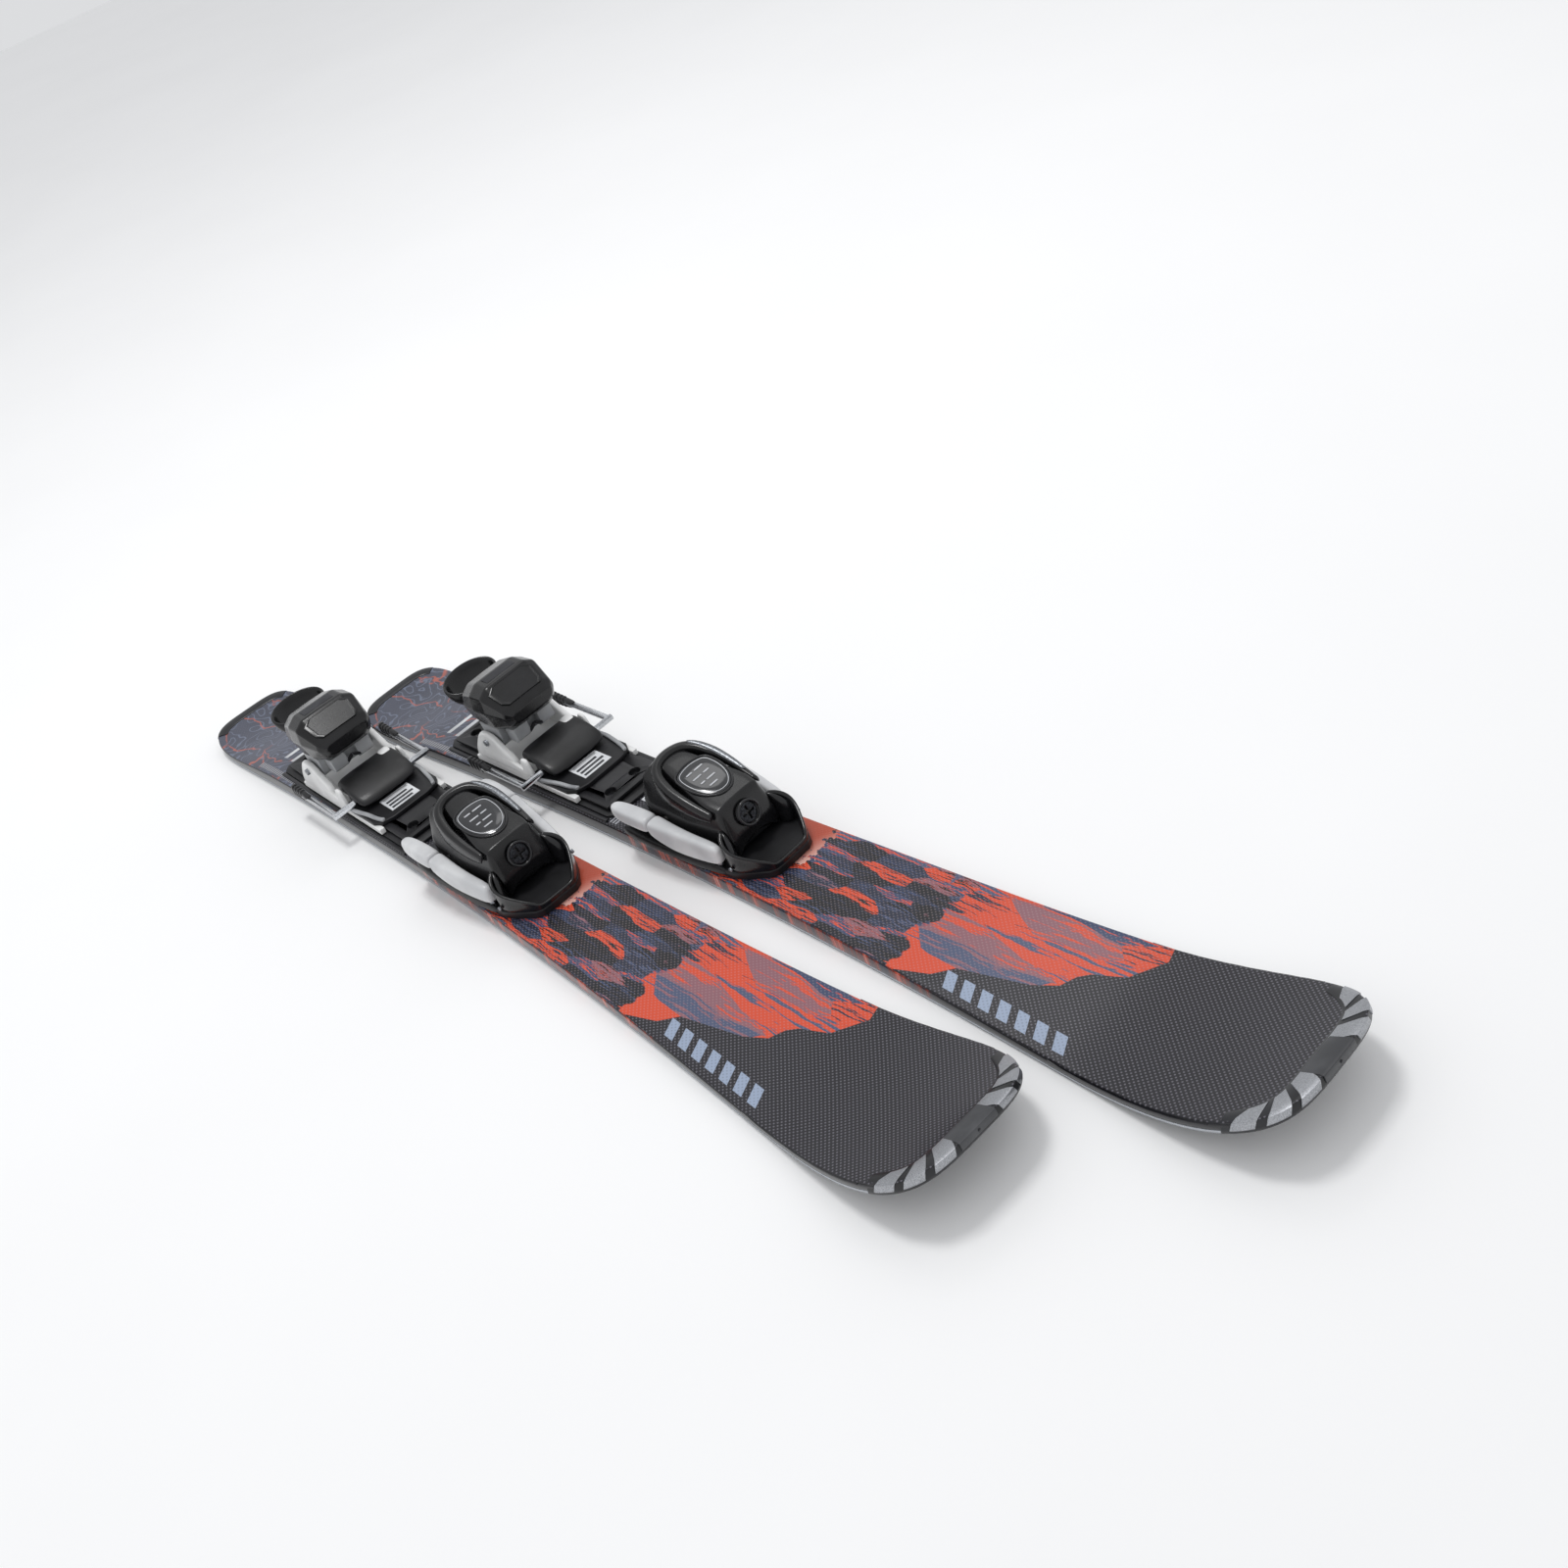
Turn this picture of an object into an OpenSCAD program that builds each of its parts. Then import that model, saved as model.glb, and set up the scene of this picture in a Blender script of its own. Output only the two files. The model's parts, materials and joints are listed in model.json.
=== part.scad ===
// A pair of short junior alpine skis with release bindings.
// +X points to the tips, +Y to the skier's left, +Z up; the skis stand on Z = 0.
// Each ski is drawn in its own frame first: X from 0 at the tail to ski_len at the tip,
// Y from its centre line, Z from its running sole, and is then put in its place in the pair.

/* [Ski] */
// Length of each ski from tail to tip
ski_len = 900; // [880:1:930]
// Width of the shovel, at its widest
tip_w = 106; // [100:1:112]
// Width at the waist
waist_w = 70; // [68:1:71]
// Width at the tail
tail_w = 86; // [82:1:90]
// Thickness under the binding
deck_t = 13; // [12.5:0.5:14]
// Thickness at the tip and the tail
end_t = 8; // [7:0.5:9]
// Height that the tip's sole curls up to
tip_rise = 36; // [28:1:44]
// Height that the tail's sole curls up to
tail_rise = 6; // [3:1:9]

/* [Pair] */
// How far the left ski's centre line is from the right one's, beside the toe piece
pair_gap = 110; // [108:1:140]
// How far forward the left ski lies
stagger = 122; // [60:1:160]
// Angle that the left ski's tip turns outwards
toe_out = 2.5; // [0:0.1:2.5]

/* [Toe piece] */
// Place of the release screw's face along the ski
toe_x = 474; // [474:1:480]
// Height of the toe wings' underside above the deck
wing_z = 9; // [9:0.5:11]
// Height of the toe wings
wing_h = 22; // [18:1:23]

/* [Heel piece] */
// Place of the housing's pivot along the ski
heel_x = 205; // [203:1:206]
// Height of the housing's pivot above the deck
heel_pivot_z = 27; // [27:0.5:28]
// Place of the brake's pivot along the ski
brake_x = 262; // [261:1:264]
// Height of the brake's pivot above the deck
brake_z = 13.3; // [13.2:0.1:13.6]
// Diameter of the brake wire
wire_d = 5; // [4.5:0.1:5]

/* [Hidden] */
$fn = 48;
fit = 0.05;            // running clearance on a pin's radius
// Layers of the ski
sole_t = 1.4;
edge_h = 2.2;
edge_w = 2.2;
wall_w = 6;
sheet_t = 1;
cap_w = 16;            // depth of the tip protector
cap_x = ski_len - 42;
tail_cap_w = 10;
tail_cap_x = 24;
// Stations of the outline
sidecut_tail_x = 50;
sidecut_waist_x = 0.46 * ski_len;
sidecut_tip_x = ski_len - 100;
tip_round_x = ski_len - 150;
tail_round_x = 90;
tip_power = 3.8;
tail_power = 4.2;
tip_curl_x = ski_len - 150;
tail_curl_x = 60;
deck_rear_x = 130;
deck_front_x = 520;

PARTS = ["base", "edges", "core", "tip_spacer", "sidewalls", "topsheet", "tip_protector", "tail_protector",
    "binding_screws", "toe_base", "toe_housing", "toe_window", "toe_inlay", "toe_wing_left",
    "toe_wing_right", "toe_spring", "toe_din_screw", "afd_pad", "heel_track", "heel_carriage",
    "heel_latch", "heel_housing", "heel_cup", "heel_lever", "heel_spring", "heel_din_screw",
    "heel_pin", "brake_pedal", "brake_arms", "brake_claws"];
SIDES = ["right", "left"];

// ---------- helper functions ----------

function smooth(u) = let (c = min(1, max(0, u))) c * c * (3 - 2 * c);

// The sidecut: the parabola through the tail's, the waist's and the tip's half widths
function sidecut(x) =
    let (a = sidecut_tail_x, b = sidecut_waist_x, c = sidecut_tip_x)
    tail_w / 2 * (x - b) * (x - c) / ((a - b) * (a - c))
    + waist_w / 2 * (x - a) * (x - c) / ((b - a) * (b - c))
    + tip_w / 2 * (x - a) * (x - b) / ((c - a) * (c - b));

// Height of the sole, and thickness of the ski, at a place along it
function sole_z(x) =
    tip_rise * pow(max(0, (x - tip_curl_x) / (ski_len - tip_curl_x)), 2.1)
    + tail_rise * pow(max(0, (tail_curl_x - x) / tail_curl_x), 2);
function thick(x) =
    end_t + (deck_t - end_t) * smooth((x - 25) / (deck_rear_x - 25))
    * smooth((tip_curl_x + 20 - x) / (tip_curl_x + 20 - deck_front_x));

// Half outline from tail to tip, drawn in by inset all round
function half_outline(inset) = concat(
    [for (a = [0 : 10 : 80]) let (t = pow(cos(a), 2 / tail_power), s = pow(sin(a), 2 / tail_power),
        x = tail_round_x - (tail_round_x - inset) * t)
        [x, (sidecut(x) - inset) * s]],
    [for (i = [0 : 11]) let (x = tail_round_x + (tip_round_x - tail_round_x) * i / 11)
        [x, sidecut(x) - inset]],
    [for (a = [82 : -6 : 0]) let (t = pow(cos(a), 2 / tip_power), s = pow(sin(a), 2 / tip_power),
        x = tip_round_x + (ski_len - inset - tip_round_x) * t)
        [x, (sidecut(x) - inset) * s]],
    [[ski_len - inset, 0]]);
function mirrored(p) = [for (i = [len(p) - 1 : -1 : 0]) if (p[i].y > 0.001) [p[i].x, -p[i].y]];

// Places along the ski where its long section bends
stations = concat([for (x = [-2 : 12 : 142]) x], [for (x = [deck_front_x : 26 : tip_curl_x]) x],
    [for (i = [1 : 10]) tip_curl_x + (ski_len + 2 - tip_curl_x) * i / 10]);

// ---------- helper modules ----------

module outline(inset) {
    half = half_outline(inset);
    polygon(concat(half, mirrored(half)));
}

module outline_block(inset) {
    translate([0, 0, -20])
        linear_extrude(120) outline(inset);
}

// Extrudes a shape drawn in X and Z across the ski, from y0 to y1
module across(y0, y1) {
    translate([0, y1, 0])
        rotate([90, 0, 0])
            linear_extrude(y1 - y0) children();
}

// A slab that follows the sole, from low above it to high above it
module sole_slab(low, high) {
    across(-80, 80)
        polygon(concat([for (x = stations) [x, sole_z(x) + low]],
            [for (i = [len(stations) - 1 : -1 : 0]) let (x = stations[i]) [x, sole_z(x) + high]]));
}

// A slab under the top of the ski: from low above the sole to down below the top
module body_slab(low, down) {
    across(-80, 80)
        polygon(concat([for (x = stations) [x, sole_z(x) + low]],
            [for (i = [len(stations) - 1 : -1 : 0]) let (x = stations[i])
                [x, sole_z(x) + thick(x) - down]]));
}

// The space that the tip and tail protectors fill
module cap_space() {
    difference() {
        union() {
            translate([cap_x, -100, -30]) cube([100, 200, 150]);
            translate([tail_cap_x - 100, -100, -30]) cube([100, 200, 150]);
        }
        intersection() {
            outline_block(cap_w);
            translate([300, -100, -30]) cube([ski_len, 200, 150]);
        }
        intersection() {
            outline_block(tail_cap_w);
            translate([-100, -100, -30]) cube([400, 200, 150]);
        }
    }
}

module screw_places(toe) {
    places = toe ? [[383, -20], [383, 20], [440, -27], [440, 27]]
        : [[150, -12], [150, 12], [325, -12], [325, 12]];
    for (p = places) translate([p.x, p.y, deck_t]) children();
}

module all_screw_places() {
    screw_places(true) children();
    screw_places(false) children();
}

module screw_holes() {
    all_screw_places() translate([0, 0, -9]) cylinder(d = 4, h = 12);
}

// ---------- the ski ----------

module base() {
    color("#101012")
        difference() {
            intersection() {
                sole_slab(0, sole_t);
                outline_block(edge_w);
            }
            cap_space();
        }
}

module edges() {
    color("#b9bcc2")
        difference() {
            union() {
                difference() {
                    intersection() {
                        sole_slab(0, edge_h);
                        outline_block(0);
                    }
                    outline_block(edge_w);
                }
                difference() {
                    intersection() {
                        sole_slab(sole_t, edge_h);
                        outline_block(edge_w);
                    }
                    outline_block(wall_w);
                }
            }
            cap_space();
        }
}

// Everything ahead of where the tip starts to curl
module ahead_of_curl() {
    translate([tip_curl_x, -100, -30]) cube([200, 200, 150]);
}

module core() {
    color("#c9a878")
        difference() {
            intersection() {
                body_slab(sole_t, sheet_t);
                outline_block(wall_w);
            }
            ahead_of_curl();
            cap_space();
            screw_holes();
        }
}

// The filler that takes the place of the core and the sidewalls in the curled tip
module tip_spacer() {
    color("#26272b")
        difference() {
            intersection() {
                union() {
                    body_slab(edge_h, sheet_t);
                    intersection() {
                        sole_slab(sole_t, edge_h);
                        outline_block(wall_w);
                    }
                }
                outline_block(0);
                ahead_of_curl();
            }
            cap_space();
        }
}

module sidewalls() {
    color("#4a3d44")
        difference() {
            intersection() {
                body_slab(edge_h, sheet_t);
                outline_block(0);
            }
            outline_block(wall_w);
            ahead_of_curl();
            cap_space();
        }
}

module topsheet() {
    color("#2b2d38")
        difference() {
            intersection() {
                across(-80, 80)
                    polygon(concat([for (x = stations) [x, sole_z(x) + thick(x) - sheet_t]],
                        [for (i = [len(stations) - 1 : -1 : 0]) let (x = stations[i])
                            [x, sole_z(x) + thick(x)]]));
                outline_block(0.6);
            }
            cap_space();
            screw_holes();
        }
}

module tip_protector() {
    color("#8f9297")
        intersection() {
            body_slab(0, -1.2);
            outline_block(-1);
            cap_space();
            translate([300, -100, -30]) cube([ski_len, 200, 150]);
        }
}

module tail_protector() {
    color("#17181a")
        intersection() {
            body_slab(0, -0.8);
            outline_block(-0.6);
            cap_space();
            translate([-100, -100, -30]) cube([400, 200, 150]);
        }
}

module binding_screws() {
    color("#8d9095")
        all_screw_places() {
            translate([0, 0, -9]) cylinder(d = 4, h = 9.8);
            translate([0, 0, 0.8]) cylinder(d = 8, h = 1.4);
        }
}

// Clearance for the screws through a plate on the deck
module plate_screw_holes(toe) {
    screw_places(toe) {
        translate([0, 0, -1]) cylinder(d = 4, h = 3);
        translate([0, 0, 0.8]) cylinder(d = 8, h = 1.4);
        translate([0, 0, 2.2]) cylinder(d = 9, h = 30);
    }
}

// ---------- toe piece; heights are above the deck ----------

din_tilt = 18;
din_z = 31;
din_depth = 52;
wing_pin_x = toe_x - 8;
wing_pin_y = 29.5;
wing_pin_d = 5;
base_h = 6;

module on_deck() {
    translate([0, 0, deck_t]) children();
}

// Puts its children on the release screw's axis, +Z out of the screw's face
module on_din_axis() {
    on_deck()
        translate([toe_x, 0, din_z])
            rotate([0, 90 - din_tilt, 0]) children();
}

module toe_base() {
    color("#1c1c1e")
        difference() {
            on_deck()
                union() {
                    linear_extrude(base_h)
                        polygon([[363, -24], [368, -31], [470, -33], [492, -33], [502, -27], [507, -12],
                            [507, 12], [502, 27], [492, 33], [470, 33], [368, 31], [363, 24]]);
                    for (s = [-1, 1])
                        across(min(s * 28.5, s * 32), max(s * 28.5, s * 32))
                            polygon([[369, 5], [371, 14], [376, 18], [408, 18], [428, 8.4], [432, 5]]);
                    intersection() {
                        across(-33, 33)
                            polygon([[474, 5], [474, 27], [480, 29], [488, 24], [500, 13], [507, 9],
                                [507, 5]]);
                        linear_extrude(40)
                            difference() {
                                polygon([[474, -33], [492, -33], [502, -27], [507, -12], [507, 12],
                                    [502, 27], [492, 33], [474, 33]]);
                                polygon([[470, -21.5], [490, -22], [498, -18], [502, -8], [502, 8],
                                    [498, 18], [490, 22], [470, 21.5]]);
                            }
                    }
                }
            on_deck()
                for (s = [-1, 1])
                    translate([wing_pin_x, s * wing_pin_y, 1])
                        cylinder(d = wing_pin_d + 2 * fit, h = base_h);
            plate_screw_holes(true);
        }
}

module toe_housing() {
    color("#141416")
        difference() {
            on_deck()
                intersection() {
                    across(-30, 30)
                        polygon([[390, base_h], [388, 26], [390, 44], [395, 54], [402, 57.5], [410, 56.5],
                            [417, 53.6], [toe_x - 5, 43.4], [toe_x + 4, 20], [toe_x - 2, 17],
                            [toe_x - 3, base_h]]);
                    linear_extrude(80)
                        polygon([[386, -22], [394, -26], [440, -26], [455, -22.5], [toe_x + 12, -19.5],
                            [toe_x + 12, 19.5], [455, 22.5], [440, 26], [394, 26], [386, 22]]);
                    rotate([90, 0, 90])
                        linear_extrude(600)
                            polygon([[-26.5, 0], [-26.5, 24], [-23, 38], [-17, 50], [-9, 57], [9, 57],
                                [17, 50], [23, 38], [26.5, 24], [26.5, 0]]);
                }
            on_din_axis() translate([0, 0, -din_depth]) cylinder(r = 7, h = din_depth + 20);
        }
}

module toe_window() {
    slope = atan(10.2 / (toe_x - 422));
    color("#3a3d42")
        on_deck()
            translate([417, 0, 53.62])
                rotate([0, slope, 0])
                    linear_extrude(1.2)
                        polygon([[8, -12], [30, -14], [42, -9], [45, 0], [42, 9], [30, 14], [8, 12], [5, 0]]);
}

module toe_inlay() {
    color("#9a9da2")
        on_deck()
            for (s = [-1, 1])
                intersection() {
                    rotate([90, 0, 90])
                        translate([0, 0, 398])
                            linear_extrude(60)
                                polygon([[s * 23, 38], [s * 17, 50], [s * 17.9, 50.6], [s * 24, 38.4]]);
                    across(-30, 30)
                        polygon([[398, 46], [400, 51], [452, 44], [450, 40]]);
                }
}

// One wing, drawn on the -Y side
module wing() {
    on_deck() {
        translate([wing_pin_x, -wing_pin_y, 1.2]) cylinder(d = wing_pin_d, h = wing_z + 4);
        intersection() {
            translate([0, 0, wing_z])
                linear_extrude(wing_h)
                    union() {
                        translate([wing_pin_x, -wing_pin_y]) circle(r = 6);
                        polygon([[wing_pin_x - 2, -wing_pin_y - 5.7], [440, -38], [408, -41.5],
                            [380, -42], [370, -39], [367, -34], [371, -30], [382, -28.6],
                            [400, -27.2], [438, -27.2], [wing_pin_x - 3, -wing_pin_y + 5]]);
                    }
            across(-50, -10)
                polygon([[360, 24], [368, 20], [412, 20], [432, wing_z], [480, wing_z], [480, 23],
                    [440, 27], [410, 31], [378, 31], [365, 27]]);
        }
    }
}

module toe_wing_right() {
    color("#c9cacc") wing();
}

module toe_wing_left() {
    color("#c9cacc") mirror([0, 1, 0]) wing();
}

module toe_spring() {
    coils = 9;
    pitch = 4;
    color("#777a80")
        on_din_axis()
            translate([0, 0, -din_depth + 1])
                rotate_extrude()
                    polygon(concat([[4, 0]], [for (i = [0 : coils - 1]) each
                        [[5.2, i * pitch], [6.5, (i + 0.5) * pitch]]], [[5.2, coils * pitch],
                        [4, coils * pitch]]));
}

module toe_din_screw() {
    color("#55585d")
        on_din_axis() {
            difference() {
                translate([0, 0, -7]) cylinder(r = 7 - fit, h = 7);
                for (a = [0, 90])
                    rotate([0, 0, a]) translate([-5, -0.9, -2]) cube([10, 1.8, 5]);
            }
            translate([0, 0, -46]) cylinder(d = 6, h = 39);
        }
}

module afd_pad() {
    color("#3c3e42")
        on_deck()
            translate([0, 0, base_h])
                intersection() {
                    translate([365, -22, 0]) cube([22, 44, 3.5]);
                    across(-30, 30) polygon([[365, 0], [367, 3.5], [387, 3.5], [387, 0]]);
                }
}

// ---------- heel piece; heights are above the deck ----------

track_t = 2.5;
rail_z = 6.5;
chassis_z = rail_z + 0.3;
chassis_top = 9.8;
cheek_in = 23.6;
cheek_out = 31;
skirt_in = 27;
pin_d = 5;
pedal_in = 22.4;
latch_x = 184;
latch_z = 10.6;
latch_pin_d = 3;
lever_x = 186;
lever_z = 43.5;
lever_pin_d = 4;

module heel_track() {
    color("#1a1a1c")
        difference() {
            on_deck()
                union() {
                    linear_extrude(track_t)
                        polygon([[132, -24], [138, -30], [340, -30], [346, -24], [346, 24], [340, 30],
                            [138, 30], [132, 24]]);
                    translate([140, -20, track_t]) cube([198, 40, 2.1]);
                    translate([140, -26, 4.5]) cube([198, 52, rail_z - 4.5]);
                    for (s = [-1, 1])
                        translate([136, s * 32 - 1.5, 0]) cube([206, 3, 1.6]);
                    for (s = [-1, 1])
                        translate([136, s * 30.5 - 1, 0]) cube([206, 2, 0.8]);
                }
            plate_screw_holes(false);
        }
}

module heel_carriage() {
    color("#d9dadb")
        difference() {
            on_deck()
                union() {
                    translate([178, -31, chassis_z]) cube([128, 62, chassis_top - chassis_z]);
                    for (s = [-1, 1]) {
                        translate([178, s * 28.8 - 2.2, 2.8]) cube([128, 4.4, 5]);
                        translate([178, s * 24.6 - 3, 2.8]) cube([128, 6, 1.4]);
                    }
                    for (s = [-1, 1])
                        across(min(s * cheek_in, s * cheek_out), max(s * cheek_in, s * cheek_out))
                            union() {
                                translate([heel_x, heel_pivot_z]) circle(r = 7.4);
                                polygon([[180, 9], [181, 16], [187, 25], [heel_x - 6, heel_pivot_z + 6],
                                    [heel_x + 7, heel_pivot_z + 5], [221, 26], [229, 21], [234, 16],
                                    [234, 9]]);
                            }
                    for (s = [-1, 1])
                        across(min(s * skirt_in, s * cheek_out), max(s * skirt_in, s * cheek_out))
                            polygon([[220, 9], [220, 19.6], [228, 18.4], [238, 15.4], [248, 14],
                                [256, 12.4], [257, 9]]);
                    for (s = [-1, 1])
                        translate([180, s * 10.4 - 1.8, 9]) cube([8, 3.6, 5]);
                    intersection() {
                        translate([brake_x - 9, -pedal_in, 9]) cube([18, 2 * pedal_in, 9.3]);
                        across(-30, 30)
                            polygon([[brake_x - 9, 9], [brake_x - 7, 17], [brake_x - 4, 18.3],
                                [brake_x + 4, 18.3], [brake_x + 7, 17], [brake_x + 9, 9]]);
                    }
                }
            on_deck() {
                across(-40, 40) translate([heel_x, heel_pivot_z]) circle(d = pin_d);
                across(-40, 40) translate([brake_x, brake_z]) circle(d = wire_d + 2 * fit);
                translate([176, -8.5, 5]) cube([12, 17, 8]);
                across(-12.2, 12.2) translate([latch_x, latch_z]) circle(d = latch_pin_d + 2 * fit);
            }
        }
}

module heel_latch() {
    color("#2a2b2e")
        on_deck() {
            across(-11.8, 11.8) translate([latch_x, latch_z]) circle(d = latch_pin_d);
            intersection() {
                across(-8, 8)
                    polygon([[165, 8.4], [166, 11], [176, 12.6], [186, 12.6], [187.6, 10],
                        [186, chassis_z + 0.4], [176, chassis_z + 0.4]]);
                linear_extrude(30)
                    polygon([[164, -5], [167, -8], [188, -8], [188, 8], [167, 8], [164, 5]]);
            }
        }
}

// The housing in its open position; it turns about the heel pin
module heel_housing() {
    color("#151517")
        difference() {
            on_deck()
                union() {
                    intersection() {
                        across(-30, 30)
                            polygon([[184, 38], [180, 50], [188, 66], [204, 74], [220, 75], [240, 63],
                                [245, 54], [238, 43], [224, 36.6], [190, 36.6]]);
                        rotate([90, 0, 90])
                            linear_extrude(400)
                                polygon([[-20, 30], [-24, 40], [-27, 52], [-25, 64], [-17, 75], [17, 75],
                                    [25, 64], [27, 52], [24, 40], [20, 30]]);
                        linear_extrude(100)
                            polygon([[178, -20], [186, -25], [226, -27], [246, -15], [246, 15],
                                [226, 27], [186, 25], [178, 20]]);
                    }
                    across(-cheek_in + 0.4, cheek_in - 0.4)
                        polygon([[heel_x - 13, 37], [heel_x - 10, 22], [heel_x - 5, 18.6],
                            [heel_x + 6, 18.6], [heel_x + 13, 24], [heel_x + 14, 37]]);
                }
            on_deck() {
                across(-40, 40) translate([heel_x, heel_pivot_z]) circle(d = pin_d + 2 * fit);
                translate([170, 0, 54]) rotate([0, 90, 0]) cylinder(r = 7, h = 64);
                translate([173, -13.5, 38.6]) cube([lever_x + 4.6 - 173, 27, 9.8]);
                across(-18, 18) translate([lever_x, lever_z]) circle(d = lever_pin_d + 2 * fit);
            }
        }
}

module heel_cup() {
    color("#7d8085")
        on_deck()
            intersection() {
                across(-18, 18)
                    polygon([[219, 25], [heel_x + 14, 36.6], [224, 36.6], [232, 38], [233, 28], [229, 25]]);
                linear_extrude(60)
                    difference() {
                        translate([200, -18]) square([40, 36]);
                        translate([226, -5]) square([14, 10]);
                    }
            }
}

module heel_lever() {
    color("#1b1b1d")
        on_deck() {
            difference() {
                intersection() {
                    across(-24, 24)
                        polygon([[178, 38], [172, 40], [157, 51], [152, 61], [153, 66.6], [160, 66],
                            [170, 61], [177, 55], [179.5, 46]]);
                    linear_extrude(90)
                        polygon([[184, -13], [177, -20.5], [165, -23.6], [155, -18.5], [150, -8],
                            [150, 8], [155, 18.5], [165, 23.6], [177, 20.5], [184, 13]]);
                }
                translate([161, 0, 69]) sphere(r = 13);
            }
            across(-13, 13)
                union() {
                    translate([lever_x, lever_z]) circle(r = 3.4);
                    polygon([[175, 41], [lever_x, lever_z - 3.4], [lever_x, lever_z + 2], [178, 45.2]]);
                }
            across(-17.6, 17.6) translate([lever_x, lever_z]) circle(d = lever_pin_d);
        }
}

module heel_spring() {
    coils = 8;
    pitch = 4.4;
    color("#777a80")
        on_deck()
            translate([192, 0, 54])
                rotate([0, 90, 0])
                    rotate_extrude()
                        polygon(concat([[4, 0]], [for (i = [0 : coils - 1]) each
                            [[5.2, i * pitch], [6.5, (i + 0.5) * pitch]]], [[5.2, coils * pitch],
                            [4, coils * pitch]]));
}

module heel_din_screw() {
    color("#55585d")
        on_deck()
            translate([182, 0, 54])
                rotate([0, 90, 0]) {
                    difference() {
                        cylinder(r = 7 - fit, h = 7);
                        for (a = [0, 90])
                            rotate([0, 0, a]) translate([-5, -0.9, -3]) cube([10, 1.8, 5]);
                    }
                    translate([0, 0, 7]) cylinder(d = 6, h = 38);
                }
}

module heel_pin() {
    color("#a7aab0")
        on_deck()
            across(-cheek_out - 0.8, cheek_out + 0.8) translate([heel_x, heel_pivot_z]) circle(d = pin_d);
}

// ---------- brake ----------

arm_y = 42.7;
claw_rear = 188;
claw_front = 218;

module brake_pedal() {
    color("#131315")
        difference() {
            on_deck()
                union() {
                    intersection() {
                        across(-26.2, 26.2)
                            polygon([[237, 20], [238, 24], [242, 26.5], [252, 25.6], [271, 20.8],
                                [279, 17], [280.5, 14.4], [277, 13.4], [270.5, 18.6], [264, 19.4],
                                [240, 19.6]]);
                        linear_extrude(60)
                            polygon([[235, -20], [240, -25], [262, -26.2], [280, -22], [285, -12],
                                [285, 12], [280, 22], [262, 26.2], [240, 25], [235, 20]]);
                    }
                    for (s = [-1, 1])
                        across(min(s * 22.7, s * 26.2), max(s * 22.7, s * 26.2))
                            polygon([[brake_x - 4.5, 20], [brake_x - 4.5, brake_z - 1],
                                [brake_x - 2, 10.2], [brake_x + 2, 10.2], [brake_x + 4.5, brake_z - 1],
                                [brake_x + 4.5, 20]]);
                }
            on_deck() across(-40, 40) translate([brake_x, brake_z]) circle(d = wire_d + 2 * fit);
        }
}

module brake_arms() {
    color("#d4d6da")
        on_deck() {
            across(-arm_y - wire_d / 2, arm_y + wire_d / 2)
                translate([brake_x, brake_z]) circle(d = wire_d);
            for (s = [-1, 1])
                translate([claw_front - 12, s * arm_y, brake_z])
                    rotate([0, 90, 0]) cylinder(d = wire_d, h = brake_x - claw_front + 12);
        }
}

module brake_claws() {
    color("#121214")
        difference() {
            on_deck()
                for (s = [-1, 1])
                    intersection() {
                        across(min(s * 39.9, s * 45.6), max(s * 39.9, s * 45.6))
                            polygon([[claw_rear, 14], [claw_rear + 3, 19], [claw_rear + 14, 18.4],
                                [claw_front - 6, 17.6], [claw_front, 16], [claw_front, 10.6],
                                [claw_front - 6, 9.2], [claw_rear + 12, 8], [claw_rear + 4, 9]]);
                        linear_extrude(60)
                            polygon([[claw_rear - 1, s * 41], [claw_rear + 6, s * 39.9],
                                [claw_front + 1, s * 39.9], [claw_front + 1, s * 45.4],
                                [claw_rear + 12, s * 45.6], [claw_rear + 3, s * 45],
                                [claw_rear - 1, s * 43.5]]);
                    }
            on_deck()
                for (s = [-1, 1])
                    translate([claw_front - 12, s * arm_y, brake_z])
                        rotate([0, 90, 0]) cylinder(d = wire_d, h = 20);
        }
}

// ---------- the pair ----------

// Overall length and width of the pair, which stands centred on the origin
ref_x = 500;           // place beside which the pair's gap is measured
reach = stagger + ref_x + (ski_len + 1 - ref_x) * cos(toe_out);
low_y = -max([for (p = half_outline(-1)) p.y]);
high_y = pair_gap + max([for (p = half_outline(-1))
    (p.x - ref_x) * sin(toe_out) + p.y * cos(toe_out)]);

module in_pair(side) {
    translate([-(reach - 0.6) / 2, -(low_y + high_y) / 2, 0])
        if (side == "right")
            children();
        else
            translate([ref_x + stagger, pair_gap, 0])
                rotate([0, 0, toe_out])
                    translate([-ref_x, 0, 0]) children();
}

in_pair("right") base();  // right_base
in_pair("right") edges();  // right_edges
in_pair("right") core();  // right_core
in_pair("right") tip_spacer();  // right_tip_spacer
in_pair("right") sidewalls();  // right_sidewalls
in_pair("right") topsheet();  // right_topsheet
in_pair("right") tip_protector();  // right_tip_protector
in_pair("right") tail_protector();  // right_tail_protector
in_pair("right") binding_screws();  // right_binding_screws
in_pair("right") toe_base();  // right_toe_base
in_pair("right") toe_housing();  // right_toe_housing
in_pair("right") toe_window();  // right_toe_window
in_pair("right") toe_inlay();  // right_toe_inlay
in_pair("right") toe_wing_left();  // right_toe_wing_left
in_pair("right") toe_wing_right();  // right_toe_wing_right
in_pair("right") toe_spring();  // right_toe_spring
in_pair("right") toe_din_screw();  // right_toe_din_screw
in_pair("right") afd_pad();  // right_afd_pad
in_pair("right") heel_track();  // right_heel_track
in_pair("right") heel_carriage();  // right_heel_carriage
in_pair("right") heel_latch();  // right_heel_latch
in_pair("right") heel_housing();  // right_heel_housing
in_pair("right") heel_cup();  // right_heel_cup
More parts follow.
